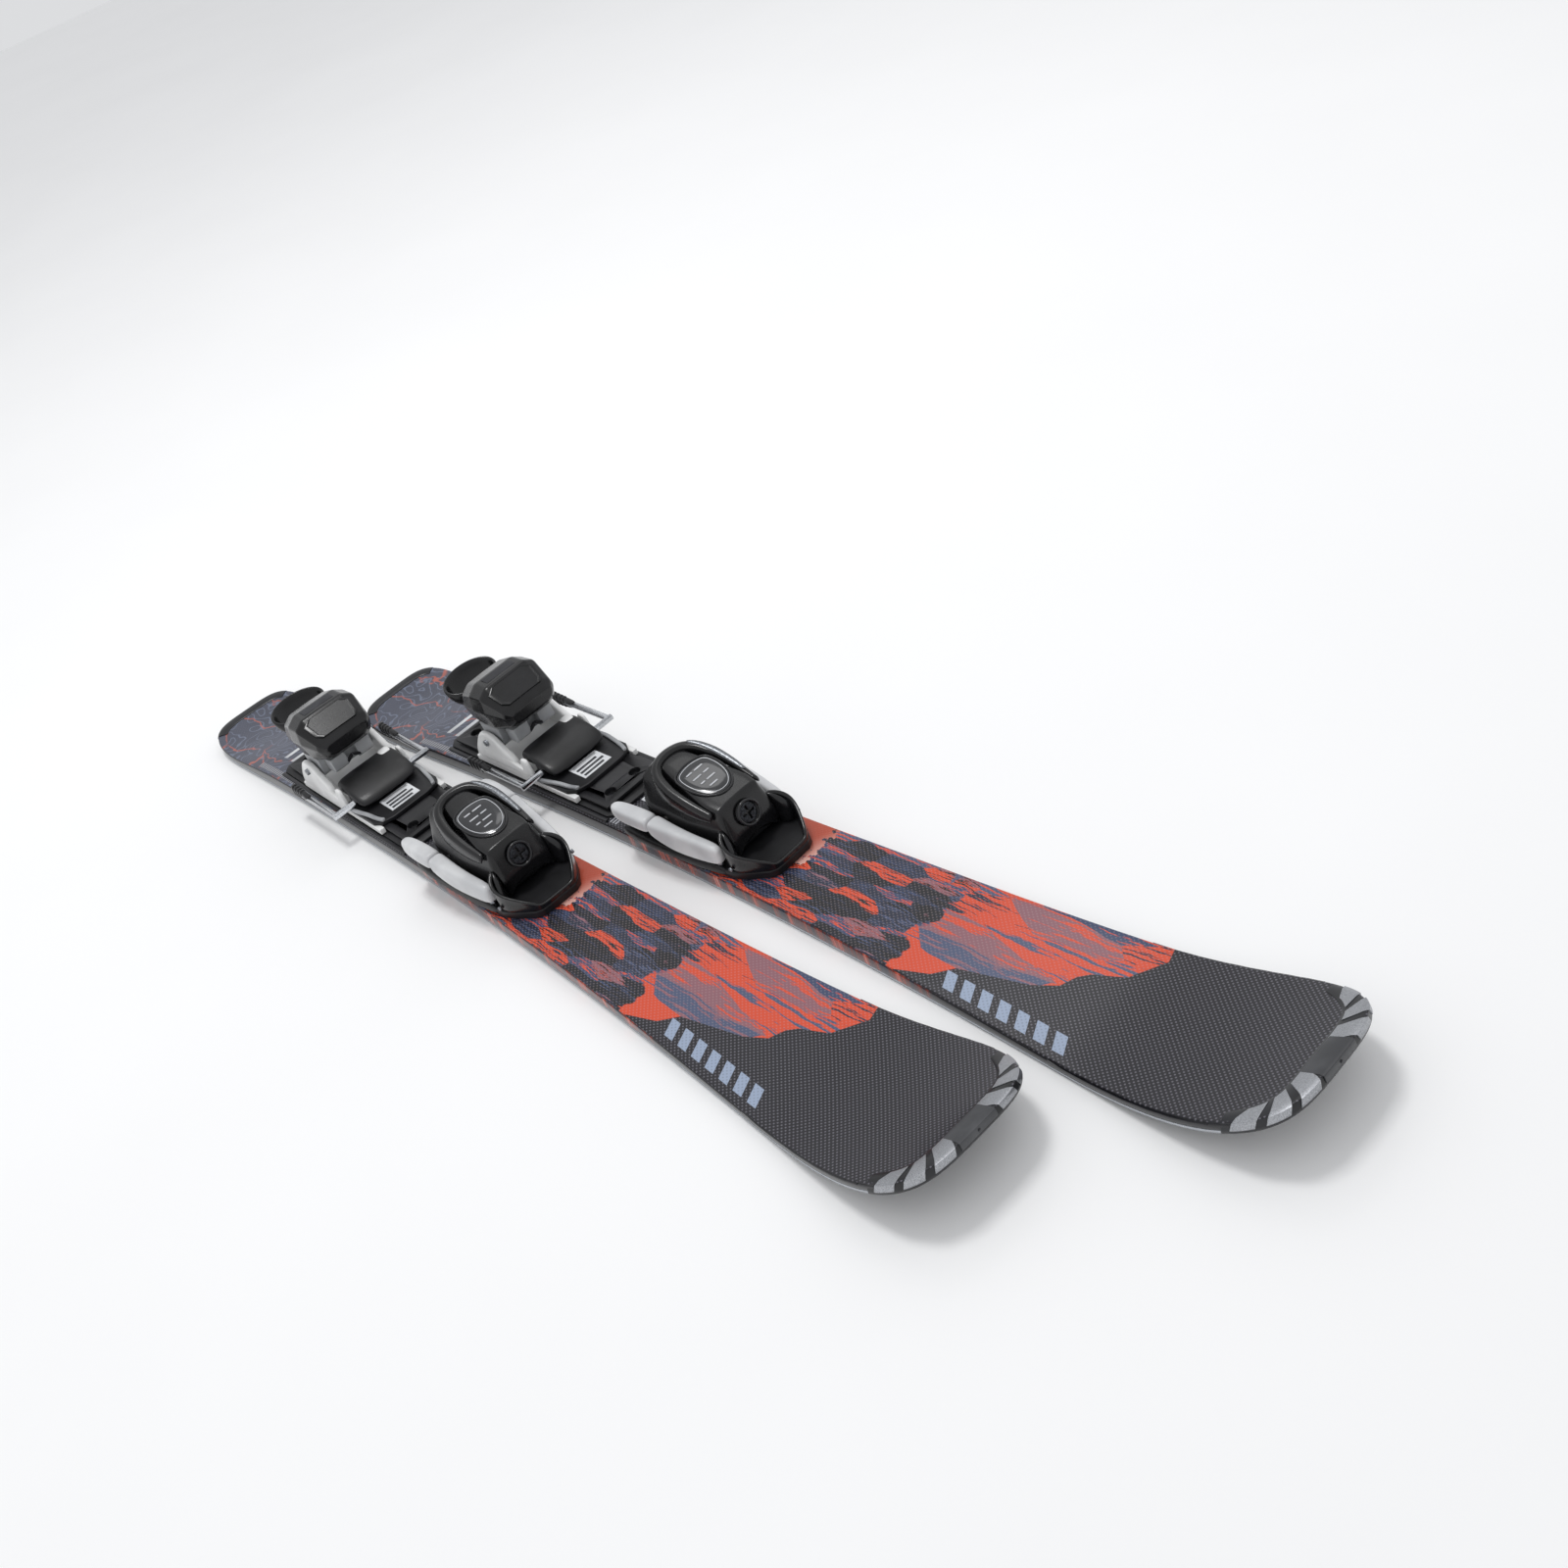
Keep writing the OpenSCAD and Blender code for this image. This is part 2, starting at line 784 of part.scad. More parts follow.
in_pair("right") heel_lever();  // right_heel_lever
in_pair("right") heel_spring();  // right_heel_spring
in_pair("right") heel_din_screw();  // right_heel_din_screw
in_pair("right") heel_pin();  // right_heel_pin
in_pair("right") brake_pedal();  // right_brake_pedal
in_pair("right") brake_arms();  // right_brake_arms
in_pair("right") brake_claws();  // right_brake_claws

in_pair("left") base();  // left_base
in_pair("left") edges();  // left_edges
in_pair("left") core();  // left_core
in_pair("left") tip_spacer();  // left_tip_spacer
in_pair("left") sidewalls();  // left_sidewalls
in_pair("left") topsheet();  // left_topsheet
in_pair("left") tip_protector();  // left_tip_protector
in_pair("left") tail_protector();  // left_tail_protector
in_pair("left") binding_screws();  // left_binding_screws
in_pair("left") toe_base();  // left_toe_base
in_pair("left") toe_housing();  // left_toe_housing
in_pair("left") toe_window();  // left_toe_window
in_pair("left") toe_inlay();  // left_toe_inlay
in_pair("left") toe_wing_left();  // left_toe_wing_left
in_pair("left") toe_wing_right();  // left_toe_wing_right
in_pair("left") toe_spring();  // left_toe_spring
in_pair("left") toe_din_screw();  // left_toe_din_screw
in_pair("left") afd_pad();  // left_afd_pad
in_pair("left") heel_track();  // left_heel_track
in_pair("left") heel_carriage();  // left_heel_carriage
in_pair("left") heel_latch();  // left_heel_latch
in_pair("left") heel_housing();  // left_heel_housing
in_pair("left") heel_cup();  // left_heel_cup
in_pair("left") heel_lever();  // left_heel_lever
in_pair("left") heel_spring();  // left_heel_spring
in_pair("left") heel_din_screw();  // left_heel_din_screw
in_pair("left") heel_pin();  // left_heel_pin
in_pair("left") brake_pedal();  // left_brake_pedal
in_pair("left") brake_arms();  // left_brake_arms
in_pair("left") brake_claws();  // left_brake_claws
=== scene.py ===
"""A pair of junior alpine skis with release bindings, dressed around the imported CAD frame.

Shapes are drawn in each ski's own frame, in millimetres: X from the tail, Y from the centre
line, Z from the sole. Binding shapes give their heights above the deck.
"""
import json
import math

import bmesh
import bpy
from mathutils import Matrix, Vector


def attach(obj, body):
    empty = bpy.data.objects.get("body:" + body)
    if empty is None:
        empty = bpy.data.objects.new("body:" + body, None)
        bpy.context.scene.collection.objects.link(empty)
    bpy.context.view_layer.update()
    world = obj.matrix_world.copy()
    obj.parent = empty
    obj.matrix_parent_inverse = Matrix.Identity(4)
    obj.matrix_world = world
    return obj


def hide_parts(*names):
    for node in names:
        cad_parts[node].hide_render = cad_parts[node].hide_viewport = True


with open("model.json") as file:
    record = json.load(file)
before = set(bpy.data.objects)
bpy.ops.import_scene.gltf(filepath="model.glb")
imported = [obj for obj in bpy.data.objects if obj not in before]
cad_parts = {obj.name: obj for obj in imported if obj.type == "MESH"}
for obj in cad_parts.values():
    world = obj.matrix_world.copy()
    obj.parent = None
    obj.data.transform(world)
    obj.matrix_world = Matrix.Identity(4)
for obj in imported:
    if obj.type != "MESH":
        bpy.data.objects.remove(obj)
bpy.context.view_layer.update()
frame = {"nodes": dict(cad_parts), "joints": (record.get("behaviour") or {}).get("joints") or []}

SIDES = ("right", "left")
JOINTS = {j["name"]: j for j in frame["joints"]}
DECK = 13.0
SKI_LEN = 900.0
TOE_X = 474.0
DIN_HEIGHT = 31.0
DIN_TILT = math.radians(18)


def ski_matrix(side):
    """Ski millimetres to row metres, from two of the frame's own joints."""
    x_axis = Vector(JOINTS[side + "_heel_slide"]["axis"]).normalized()
    y_axis = Vector((0, 0, 1)).cross(x_axis)
    turn = Matrix((x_axis, y_axis, (0, 0, 1))).transposed().to_4x4()
    face = Vector(JOINTS[side + "_toe_din_turn"]["pos_m"])
    local = Vector((TOE_X, 0, DECK + DIN_HEIGHT)) / 1000
    return Matrix.Translation(face - turn @ local) @ turn @ Matrix.Scale(0.001, 4)


PLACE = {side: ski_matrix(side) for side in SIDES}

# ---------------------------------------------------------------- the ski's outline

SIDECUT = ((50.0, 43.0), (414.0, 35.0), (800.0, 53.0))
TAIL_ROUND, TIP_ROUND = 90.0, 750.0
TAIL_POWER, TIP_POWER = 4.2, 3.8


def smooth(u):
    c = min(1.0, max(0.0, u))
    return c * c * (3 - 2 * c)


def sidecut(x):
    (a, p), (b, q), (c, r) = SIDECUT
    return (p * (x - b) * (x - c) / ((a - b) * (a - c)) + q * (x - a)
        * (x - c) / ((b - a) * (b - c)) + r * (x - a) * (x - b) / ((c - a) * (c - b)))


def sole(x):
    return 36 * max(0, (x - 750) / 150) ** 2.1 + 6 * max(0, (60 - x) / 60) ** 2


def top(x):
    return sole(x) + 8 + 5 * smooth((x - 25) / 105) * smooth((770 - x) / 250)


def half_outline(inset, tail_step=3, spans=66, tip_step=2):
    pts = []
    for a in range(0, 90, tail_step):
        c, s = math.cos(math.radians(a)), math.sin(math.radians(a))
        x = TAIL_ROUND - (TAIL_ROUND - inset) * c ** (2 / TAIL_POWER)
        pts.append((x, (sidecut(x) - inset) * s ** (2 / TAIL_POWER)))
    for i in range(spans + 1):
        x = TAIL_ROUND + (TIP_ROUND - TAIL_ROUND) * i / spans
        pts.append((x, sidecut(x) - inset))
    for a in range(90 - tip_step, -1, -tip_step):
        c, s = math.cos(math.radians(a)), math.sin(math.radians(a))
        x = TIP_ROUND + (SKI_LEN - inset - TIP_ROUND) * c ** (2 / TIP_POWER)
        pts.append((x, (sidecut(x) - inset) * s ** (2 / TIP_POWER)))
    return pts


def full_outline(inset):
    half = half_outline(inset)
    return half + [(x, -y) for x, y in reversed(half[1:-1])]


# ---------------------------------------------------------------- mesh helpers

# finishes whose record slot has another name, or none
OWN_SLOT = {"base_black": "binding_black", "protector_grey": "protector_black", "mark_white": None,
    "pad_dark": None}
HANDS = ((1, "left"), (-1, "right"))
CLOSE = 2e-6


def build(name, verts, faces, finish, side, body="ski", deck=True, replaces=(), slot="own",
        bevel=0.0, segments=2, subsurf=0, uv=False, crease=None, angle=28):
    """One mesh object from vertices in ski millimetres, riding on a body of its ski."""
    name = side + "_" + name
    lift = DECK if deck else 0.0
    place = PLACE[side]
    mesh = bpy.data.meshes.new(name)
    mesh.from_pydata([place @ Vector((x, y, z + lift)) for x, y, z in verts], [], faces)
    bm = bmesh.new()
    bm.from_mesh(mesh)
    if crease:
        layer = bm.edges.layers.float.new("crease_edge")
        for e in bm.edges:
            e[layer] = crease(e.verts[0].index, e.verts[1].index)
    bmesh.ops.remove_doubles(bm, verts=bm.verts, dist=CLOSE)
    bmesh.ops.recalc_face_normals(bm, faces=bm.faces)
    if uv:
        back = place.inverted()
        plan = bm.loops.layers.uv.new("plan")
        for f in bm.faces:
            for loop in f.loops:
                p = back @ loop.vert.co
                loop[plan].uv = (p.x / 1000, p.y / 1000)
    for f in bm.faces:
        f.smooth = True
    bm.to_mesh(mesh)
    bm.free()
    obj = bpy.data.objects.new(name, mesh)
    bpy.context.scene.collection.objects.link(obj)
    mesh.materials.append(MATS[finish])
    soften(obj, bevel, segments, subsurf, angle)
    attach(obj, side + "_" + body)
    if replaces:
        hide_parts(*[side + "_" + n for n in replaces])
    if slot == "own":
        slot = OWN_SLOT.get(finish, finish)
    return obj


def soften(obj, bevel=0.0, segments=2, subsurf=0, angle=28, weld=False):
    """Rounds the edges, or subdivides, without touching the mesh itself."""
    if weld:
        obj.modifiers.new("weld", "WELD").merge_threshold = CLOSE
    if bevel:
        m = obj.modifiers.new("bevel", "BEVEL")
        m.width = bevel / 1000
        m.segments = segments
        m.limit_method = "ANGLE"
        m.angle_limit = math.radians(angle)
        m.use_clamp_overlap = True
        m.miter_outer = "MITER_ARC"
        m.harden_normals = True
    if subsurf:
        m = obj.modifiers.new("subsurf", "SUBSURF")
        m.levels = m.render_levels = subsurf


def bridge(rings, closed=False, caps=True):
    """Faces between rings of the same length."""
    n = len(rings[0])
    verts = [p for ring in rings for p in ring]
    faces = []
    count = len(rings)
    for j in range(count if closed else count - 1):
        a, b = j * n, ((j + 1) % count) * n
        for i in range(n):
            k = (i + 1) % n
            faces.append((a + i, a + k, b + k, b + i))
    if caps and not closed:
        faces.append(tuple(range(n - 1, -1, -1)))
        faces.append(tuple(range((count - 1) * n, count * n)))
    return verts, faces


AXES = {"x": lambda u, v, w: (u, v, w), "y": lambda u, v, w: (v, u, w), "z": lambda u, v,
    w: (v, w, u)}


def loft(name, axis, stations, finish, side, body="ski", sides=16, mirror=False, **kw):
    """Rounded sections along an axis: (place, low, high, low, high, power, taper)."""
    rings = []
    for u, v0, v1, w0, w1, power, taper in stations:
        ring = []
        for k in range(sides):
            a = 2 * math.pi * (k + 0.5) / sides
            c, s = math.cos(a), math.sin(a)
            vv = math.copysign(abs(c) ** (2 / power), c)
            ww = math.copysign(abs(s) ** (2 / power), s)
            v = (v0 + v1) / 2 + (v1 - v0) / 2 * vv * (1 - taper * (ww + 1) / 2)
            x, y, z = AXES[axis](u, v, (w0 + w1) / 2 + (w1 - w0) / 2 * ww)
            ring.append((x, -y if mirror else y, z))
        rings.append(ring)
    verts, faces = bridge(rings)
    return build(name, verts, faces, finish, side, body, **kw)


def prism(name, axis, outline, low, high, finish, side, body="ski", mirror=False, **kw):
    """A flat outline pushed from low to high along an axis."""
    rings = []
    for u in (low, high):
        ring = [AXES[axis](u, v, w) for v, w in outline]
        rings.append([(x, -y if mirror else y, z) for x, y, z in ring])
    verts, faces = bridge(rings)
    return build(name, verts, faces, finish, side, body, **kw)


def spline(points, steps=6, closed=False):
    """A smooth line through the points (Catmull-Rom)."""
    pts = [Vector(p) for p in points]
    n = len(pts)
    out = []
    for i in range(n if closed else n - 1):
        p0 = pts[(i - 1) % n] if closed or i > 0 else pts[0] * 2 - pts[1]
        p1, p2 = pts[i], pts[(i + 1) % n]
        p3 = pts[(i + 2) % n] if closed or i + 2 < n else pts[-1] * 2 - pts[-2]
        for k in range(steps):
            t = k / steps
            out.append(0.5 * (2 * p1 + (p2 - p0) * t + (2 * p0 - 5 * p1 + 4 * p2 - p3) * t * t
                + (3 * p1 - p0 - 3 * p2 + p3) * t * t * t))
    if not closed:
        out.append(pts[-1])
    return out


def tube(name, path, radius, finish, side, body="ski", sides=10, closed=False, mirror=False, **kw):
    """A round bar along a path; radius is one number or one for each point."""
    pts = [Vector(p) for p in path]
    n = len(pts)
    rings = []
    up = Vector((0, 0, 1))
    for i, p in enumerate(pts):
        ahead = pts[(i + 1) % n] if closed or i + 1 < n else p
        behind = pts[i - 1] if closed or i > 0 else p
        t = (ahead - behind).normalized()
        if abs(t.z) > 0.95:
            up = Vector((1, 0, 0))
        r = t.cross(up).normalized()
        u = r.cross(t)
        rad = radius[i] if isinstance(radius, (list, tuple)) else radius
        ring = []
        for k in range(sides):
            a = 2 * math.pi * k / sides
            q = p + (r * math.cos(a) + u * math.sin(a)) * rad
            ring.append((q.x, -q.y if mirror else q.y, q.z))
        rings.append(ring)
    verts, faces = bridge(rings, closed=closed)
    return build(name, verts, faces, finish, side, body, **kw)


def sweep(name, path, outward, sections, finish, side, body="ski", mirror=False, **kw):
    """Sections of (outward, up) points carried along a path."""
    rings = []
    for p, out, section in zip(path, outward, sections):
        p, out = Vector(p), Vector(out).normalized()
        ring = []
        for r, u in section:
            q = p + out * r
            ring.append((q.x, -q.y if mirror else q.y, q.z + u))
        rings.append(ring)
    verts, faces = bridge(rings)
    return build(name, verts, faces, finish, side, body, **kw)


# ---------------------------------------------------------------- materials

class Mat:
    """A small helper that lays out one node material."""

    def __init__(self, name, rough=0.4, metal=0.0, coat=0.0, coat_rough=0.05, spec=0.5):
        self.mat = bpy.data.materials.new(name)
        self.mat.use_nodes = True
        self.tree = self.mat.node_tree
        self.shader = self.tree.nodes["Principled BSDF"]
        self.shader.inputs["Metallic"].default_value = metal
        self.shader.inputs["Roughness"].default_value = rough
        self.shader.inputs["Coat Weight"].default_value = coat
        self.shader.inputs["Coat Roughness"].default_value = coat_rough
        self.shader.inputs["Specular IOR Level"].default_value = spec

    def node(self, kind, props=None, **inputs):
        n = self.tree.nodes.new("ShaderNode" + kind)
        for key, value in (props or {}).items():
            setattr(n, key, value)
        for key, value in inputs.items():
            self.plug(n.inputs[int(key[1:]) if key[0] == "i" and key[1:].isdigit()
                else key.replace("_", " ")], value)
        return n

    def plug(self, socket, value):
        if isinstance(value, bpy.types.NodeSocket):
            self.tree.links.new(value, socket)
        else:
            socket.default_value = value

    def math(self, op, a, b=0.0, c=0.0, clamp=False):
        n = self.node("Math", {"operation": op, "use_clamp": clamp}, i0=a, i1=b, i2=c)
        return n.outputs[0]

    def times(self, a, b):
        return self.math("MULTIPLY", a, b)

    def plus(self, a, b):
        return self.math("ADD", a, b)

    def step(self, value, low, high):
        """0 below low and 1 above high, with a smooth run between."""
        n = self.node("MapRange", {"interpolation_type": "SMOOTHSTEP"}, Value=value)
        n.inputs["From Min"].default_value = low
        n.inputs["From Max"].default_value = high
        return n.outputs[0]

    def mix(self, fac, a, b, blend="MIX"):
        n = self.node("Mix", {"data_type": "RGBA", "blend_type": blend, "clamp_factor": True})
        self.plug(n.inputs[0], fac)
        self.plug(n.inputs[6], a)
        self.plug(n.inputs[7], b)
        return n.outputs[2]

    def ramp(self, fac, stops, interpolation="LINEAR"):
        n = self.node("ValToRGB", None, Fac=fac)
        n.color_ramp.interpolation = interpolation
        while len(n.color_ramp.elements) < len(stops):
            n.color_ramp.elements.new(0.5)
        for e, (place, colour) in zip(n.color_ramp.elements, stops):
            e.position, e.color = place, colour
        return n.outputs[0]

    def noise(self, vector, scale, detail=3.0, rough=0.5):
        n = self.node("TexNoise", None, Vector=vector, Scale=scale, Detail=detail, Roughness=rough)
        return n.outputs[0]

    def bump(self, height, distance, strength=1.0):
        n = self.node("Bump", None, Height=height, Distance=distance, Strength=strength)
        self.plug(self.shader.inputs["Normal"], n.outputs[0])

    def colour(self, value):
        self.plug(self.shader.inputs["Base Color"], value)

    def rough(self, value):
        self.plug(self.shader.inputs["Roughness"], value)

    def object_space(self):
        return self.node("TexCoord").outputs["Object"]


def srgb(text):
    """A hex colour as linear RGBA."""
    out = []
    for i in (0, 2, 4):
        c = int(text[i:i + 2], 16) / 255
        out.append(c / 12.92 if c <= 0.04045 else ((c + 0.055) / 1.055) ** 2.4)
    return (*out, 1.0)


def plastic(name, dark, light, rough=0.38, grain=2600.0, bump=0.00003, coat=0.0, spread=0.1,
        edge=None, spec=0.3):
    """Moulded plastic: fine grain, uneven gloss, and paler worn edges."""
    m = Mat(name, rough, coat=coat, coat_rough=0.12, spec=spec)
    at = m.object_space()
    cloud = m.noise(at, 38.0, 4.0)
    fine = m.noise(at, grain, 2.0)
    tint = m.mix(m.step(cloud, 0.35, 0.68), srgb(dark), srgb(light))
    if edge:
        sharp = m.node("NewGeometry").outputs["Pointiness"]
        tint = m.mix(m.times(m.step(sharp, 0.52, 0.6), 0.55), tint, srgb(edge))
    m.colour(tint)
    scuff = m.noise(at, 160.0, 5.0, 0.65)
    m.rough(m.plus(rough - spread / 2, m.times(scuff, spread)))
    m.bump(fine, bump)
    return m.mat


def metal(name, dark, light, rough, brush=(1.0, 1.0, 1.0), spread=0.12):
    """Metal with fine marks drawn out along one direction."""
    m = Mat(name, rough, metal=1.0)
    at = m.node("Mapping", None, Vector=m.object_space(), Scale=brush).outputs[0]
    lines = m.noise(at, 900.0, 3.0, 0.6)
    m.colour(m.mix(m.step(lines, 0.3, 0.7), srgb(dark), srgb(light)))
    m.rough(m.plus(rough - spread / 2, m.times(lines, spread)))
    m.bump(lines, 0.000015)
    return m.mat


ORANGE, MAUVE = srgb("D24A2B"), srgb("8A5D66")
SLATE, STEEL_BLUE, NAVY, INK = srgb("4B5470"), srgb("3A4664"), srgb("262B3D"), srgb("17171C")
PALE = srgb("97A5BC")


def print_space(m):
    """The ski's plan, in millimetres."""
    uv = m.node("UVMap", {"uv_map": "plan"}).outputs[0]
    return m.node("Mapping", None, Vector=uv, Scale=(1000.0, 1000.0, 1.0)).outputs[0]


def plan_xy(m):
    parts = m.node("SeparateXYZ", None, Vector=print_space(m))
    return parts.outputs[0], parts.outputs[1]


def half_width(m, x):
    """The sidecut's half width as nodes, from its parabola."""
    (a, p), (b, q), (c, r) = SIDECUT
    square = ((r - q) / (c - b) - (q - p) / (b - a)) / (c - a)
    slope = (q - p) / (b - a) - square * (a + b)
    level = p - slope * a - square * a ** 2
    return m.math("MULTIPLY_ADD", x, m.math("MULTIPLY_ADD", x, square, slope), level)


def weave_dots(m, x, y):
    """Small raised threads in staggered rows."""
    a = m.math("COSINE", m.times(x, 2 * math.pi / 3.5))
    b = m.math("COSINE", m.times(y, 2 * math.pi / 3.1))
    return m.step(m.times(a, b), 0.22, 0.8)


def wandering(m, reach):
    """The ski's plan in millimetres, pushed about by soft noise."""
    plain = print_space(m)
    bend = m.node("TexNoise", None, Vector=plain, Scale=0.03, Detail=3.0)
    off = m.node("VectorMath", {"operation": "MULTIPLY_ADD"})
    m.plug(off.inputs[0], bend.outputs[1])
    off.inputs[1].default_value = (reach, reach, 0.0)
    m.plug(off.inputs[2], plain)
    return off.outputs[0]


def shards(m, size, turn, stops, seed, wander=9.0, ripple=0.29):
    """Torn, feathered cells in a few print colours."""
    plan = wandering(m, wander)
    at = m.node("Mapping", None, Vector=plan, Location=(seed, seed * 0.37, 0.0),
        Rotation=(0.0, 0.0, turn), Scale=(1 / size[0], 1 / size[1], 1.0)).outputs[0]
    cells = m.node("TexVoronoi", {"voronoi_dimensions": "2D"}, Vector=at, Scale=1.0,
        Randomness=1.0)
    pick = m.node("SeparateColor", None, Color=cells.outputs["Color"]).outputs[0]
    thin = m.node("Mapping", None, Vector=plan, Rotation=(0.0, 0.0, turn + 0.2),
        Scale=(1 / size[0] * 1.6, 1 / size[1] * 7, 1.0)).outputs[0]
    feather = m.step(m.noise(thin, 1.0, 3.0, 0.6), 0.53, 0.57)
    fac = m.math("FRACT", m.plus(pick, m.times(feather, ripple)))
    return m.ramp(fac, stops, "CONSTANT")


# the print's zones, in millimetres from the tail, and its bands, from the inner edge
TAIL_ART_END, WAIST_START, FIELD_START, LARGE_START = 236.0, 484.0, 524.0, 668.0
BORDER_START, BORDER_RUN = 622.0, 150.0
MARK_START, BAR_PITCH, BAR_SHARE, BARS = 668.0, 14.0, 0.6, 7.0
MARK_BAND, STRIP_BAND, STRIP_RUN, TICK_PITCH = (6.0, 18.2), (3.0, 8.6), (96.0, 352.0), 2.9


def topsheet_print():
    m = Mat("topsheet_print", 0.36, coat=0.3, coat_rough=0.13, spec=0.25)
    x, y = plan_xy(m)
    dots = weave_dots(m, x, y)
    edge = m.plus(half_width(m, x), y)

    # plain woven shovel and binding zone
    grain = m.noise(print_space(m), 0.02, 3.0)
    plain = m.mix(grain, srgb("18171C"), srgb("222127"))
    plain = m.mix(m.times(dots, 0.5), plain, srgb("85838D"))

    # the broken-up coloured field ahead of the toe piece
    small = shards(m, (30.0, 8.0), 0.62, ((0.0, INK), (0.27, NAVY), (0.5, STEEL_BLUE),
        (0.64, SLATE), (0.72, MAUVE), (0.79, ORANGE)), 3.0)
    large = shards(m, (74.0, 19.0), -0.34, ((0.0, STEEL_BLUE), (0.13, ORANGE), (0.42, SLATE),
        (0.54, MAUVE), (0.62, ORANGE), (0.88, NAVY)), 11.0, 7.0, 0.16)
    zone = m.step(m.plus(x, m.times(m.noise(print_space(m), 0.05), 90.0)), LARGE_START, LARGE_START
        + 4.0)
    field = m.mix(zone, small, large)
    field = m.mix(m.times(dots, 0.17), field, srgb("C8B4B6"))

    # its torn front border, longest on the outer side
    curve = m.node("FloatCurve")
    m.plug(curve.inputs[1], m.math("MULTIPLY_ADD", y, 1 / 110.0, 0.5, clamp=True))
    points = curve.mapping.curves[0].points
    shape = ((0.0, 0.0), (0.12, 0.03), (0.2, 0.2), (0.3, 0.27), (0.4, 0.58), (0.47, 0.68),
        (0.56, 0.71), (0.61, 0.75), (0.68, 0.88), (0.86, 0.97), (1.0, 0.94))
    points[0].location, points[1].location = shape[0], shape[-1]
    for place in shape[1:-1]:
        points.new(*place)
    for p in points:
        p.handle_type = "VECTOR"
    curve.mapping.update()
    front = m.math("MULTIPLY_ADD", curve.outputs[0], BORDER_RUN, BORDER_START)
    ahead = m.step(m.math("SUBTRACT", x, front), -0.4, 0.4)
    ruffle = m.times(m.noise(print_space(m), 0.22, 2.0), 26.0)
    reach = m.math("MAXIMUM", m.times(y, -1.8), 0.0)
    behind = m.step(m.plus(m.plus(x, ruffle), reach), FIELD_START, FIELD_START + 1.0)
    body = m.mix(ahead, field, plain)
    blush = m.mix(m.step(m.plus(x, m.times(y, -0.5)), 488.0, 520.0), srgb("B04A33"),
        srgb("E6BDB2"))
    waist = m.mix(m.step(m.plus(x, ruffle), WAIST_START, WAIST_START + 2.0), plain, blush)
    body = m.mix(behind, waist, body)

    # line work on the tail
    flow = m.noise(print_space(m), 0.028, 2.0)
    lines = m.math("PINGPONG", m.times(flow, 13.0), 0.5)
    thin = m.math("SUBTRACT", 1.0, m.step(lines, 0.04, 0.13))
    folds = m.node("TexVoronoi", {"voronoi_dimensions": "2D", "feature": "DISTANCE_TO_EDGE"},
        Vector=m.node("Mapping", None, Vector=wandering(m, 42.0), Rotation=(0.0, 0.0, 0.5),
        Scale=(1 / 64.0, 1 / 30.0, 1.0)).outputs[0], Scale=1.0)
    seams = m.math("SUBTRACT", 1.0, m.step(folds.outputs[0], 0.01, 0.03))
    seams = m.times(seams, m.step(m.noise(print_space(m), 0.03), 0.42, 0.52))
    cloud = m.noise(print_space(m), 0.018, 3.0)
    tail = m.mix(cloud, srgb("3A3C48"), srgb("585B69"))
    tail = m.mix(m.times(thin, 0.4), tail, srgb("8792A8"))
    tail = m.mix(m.times(seams, 0.75), tail, srgb("B8614E"))
    rest = m.step(m.plus(x, m.times(flow, 40.0)), TAIL_ART_END, TAIL_ART_END + 26.0)
    body = m.mix(rest, tail, body)

    # a ruled strip along the inner edge, and a generic slanted mark near the tip
    ticks = m.math("GREATER_THAN", m.math("FRACT", m.times(x, 1 / TICK_PITCH)), 0.5)
    strip = m.times(m.step(edge, STRIP_BAND[0], STRIP_BAND[0] + 0.3),
        m.step(edge, STRIP_BAND[1], STRIP_BAND[1] - 0.3))
    strip = m.times(strip, m.times(m.step(x, STRIP_RUN[0], STRIP_RUN[0] + 1.0),
        m.step(x, STRIP_RUN[1], STRIP_RUN[1] - 1.0)))
    body = m.mix(strip, body, m.mix(ticks, srgb("26262B"), srgb("A5A6AD")))
    lean = m.plus(x, m.times(edge, 0.5))
    along = m.times(m.math("SUBTRACT", lean, MARK_START), 1 / BAR_PITCH)
    bars = m.math("LESS_THAN", m.math("FRACT", along), BAR_SHARE)
    mark = m.times(bars, m.times(m.step(along, 0.0, 0.02), m.step(along, BARS, BARS - 0.02)))
    mark = m.times(mark, m.times(m.step(edge, MARK_BAND[0], MARK_BAND[0] + 0.3),
        m.step(edge, MARK_BAND[1], MARK_BAND[1] - 0.3)))
    body = m.mix(m.times(mark, m.math("MULTIPLY_ADD", dots, -0.35, 1.0)), body, PALE)
    m.colour(body)
    m.rough(m.plus(0.3, m.times(m.noise(print_space(m), 0.35, 4.0), 0.14)))
    m.bump(dots, 0.00009)
    return m.mat


def sidewall_gloss():
    m = Mat("sidewall_gloss", 0.2, coat=0.25, coat_rough=0.05, spec=0.25)
    x, _ = plan_xy(m)
    runs = m.noise(m.node("CombineXYZ", None, X=x).outputs[0], 0.075, 3.0, 0.7)
    printed = m.ramp(runs, ((0.0, INK), (0.44, NAVY), (0.52, srgb("7A2F22")), (0.58, ORANGE),
        (0.64, srgb("D9A79B")), (0.7, INK)))
    here = m.times(m.step(x, 352.0, 380.0), m.step(x, 670.0, 640.0))
    m.colour(m.mix(m.times(here, 0.75), srgb("1A1A1E"), printed))
    m.bump(m.noise(m.object_space(), 700.0, 2.0), 0.00002)
    return m.mat


def clear_window():
    m = Mat("window_clear", 0.14, coat=0.6, coat_rough=0.04)
    at = m.object_space()
    m.colour(m.mix(m.noise(at, 90.0, 2.0), srgb("0E0F12"), srgb("1D1F24")))
    m.bump(m.noise(at, 400.0, 2.0), 0.00001)
    return m.mat


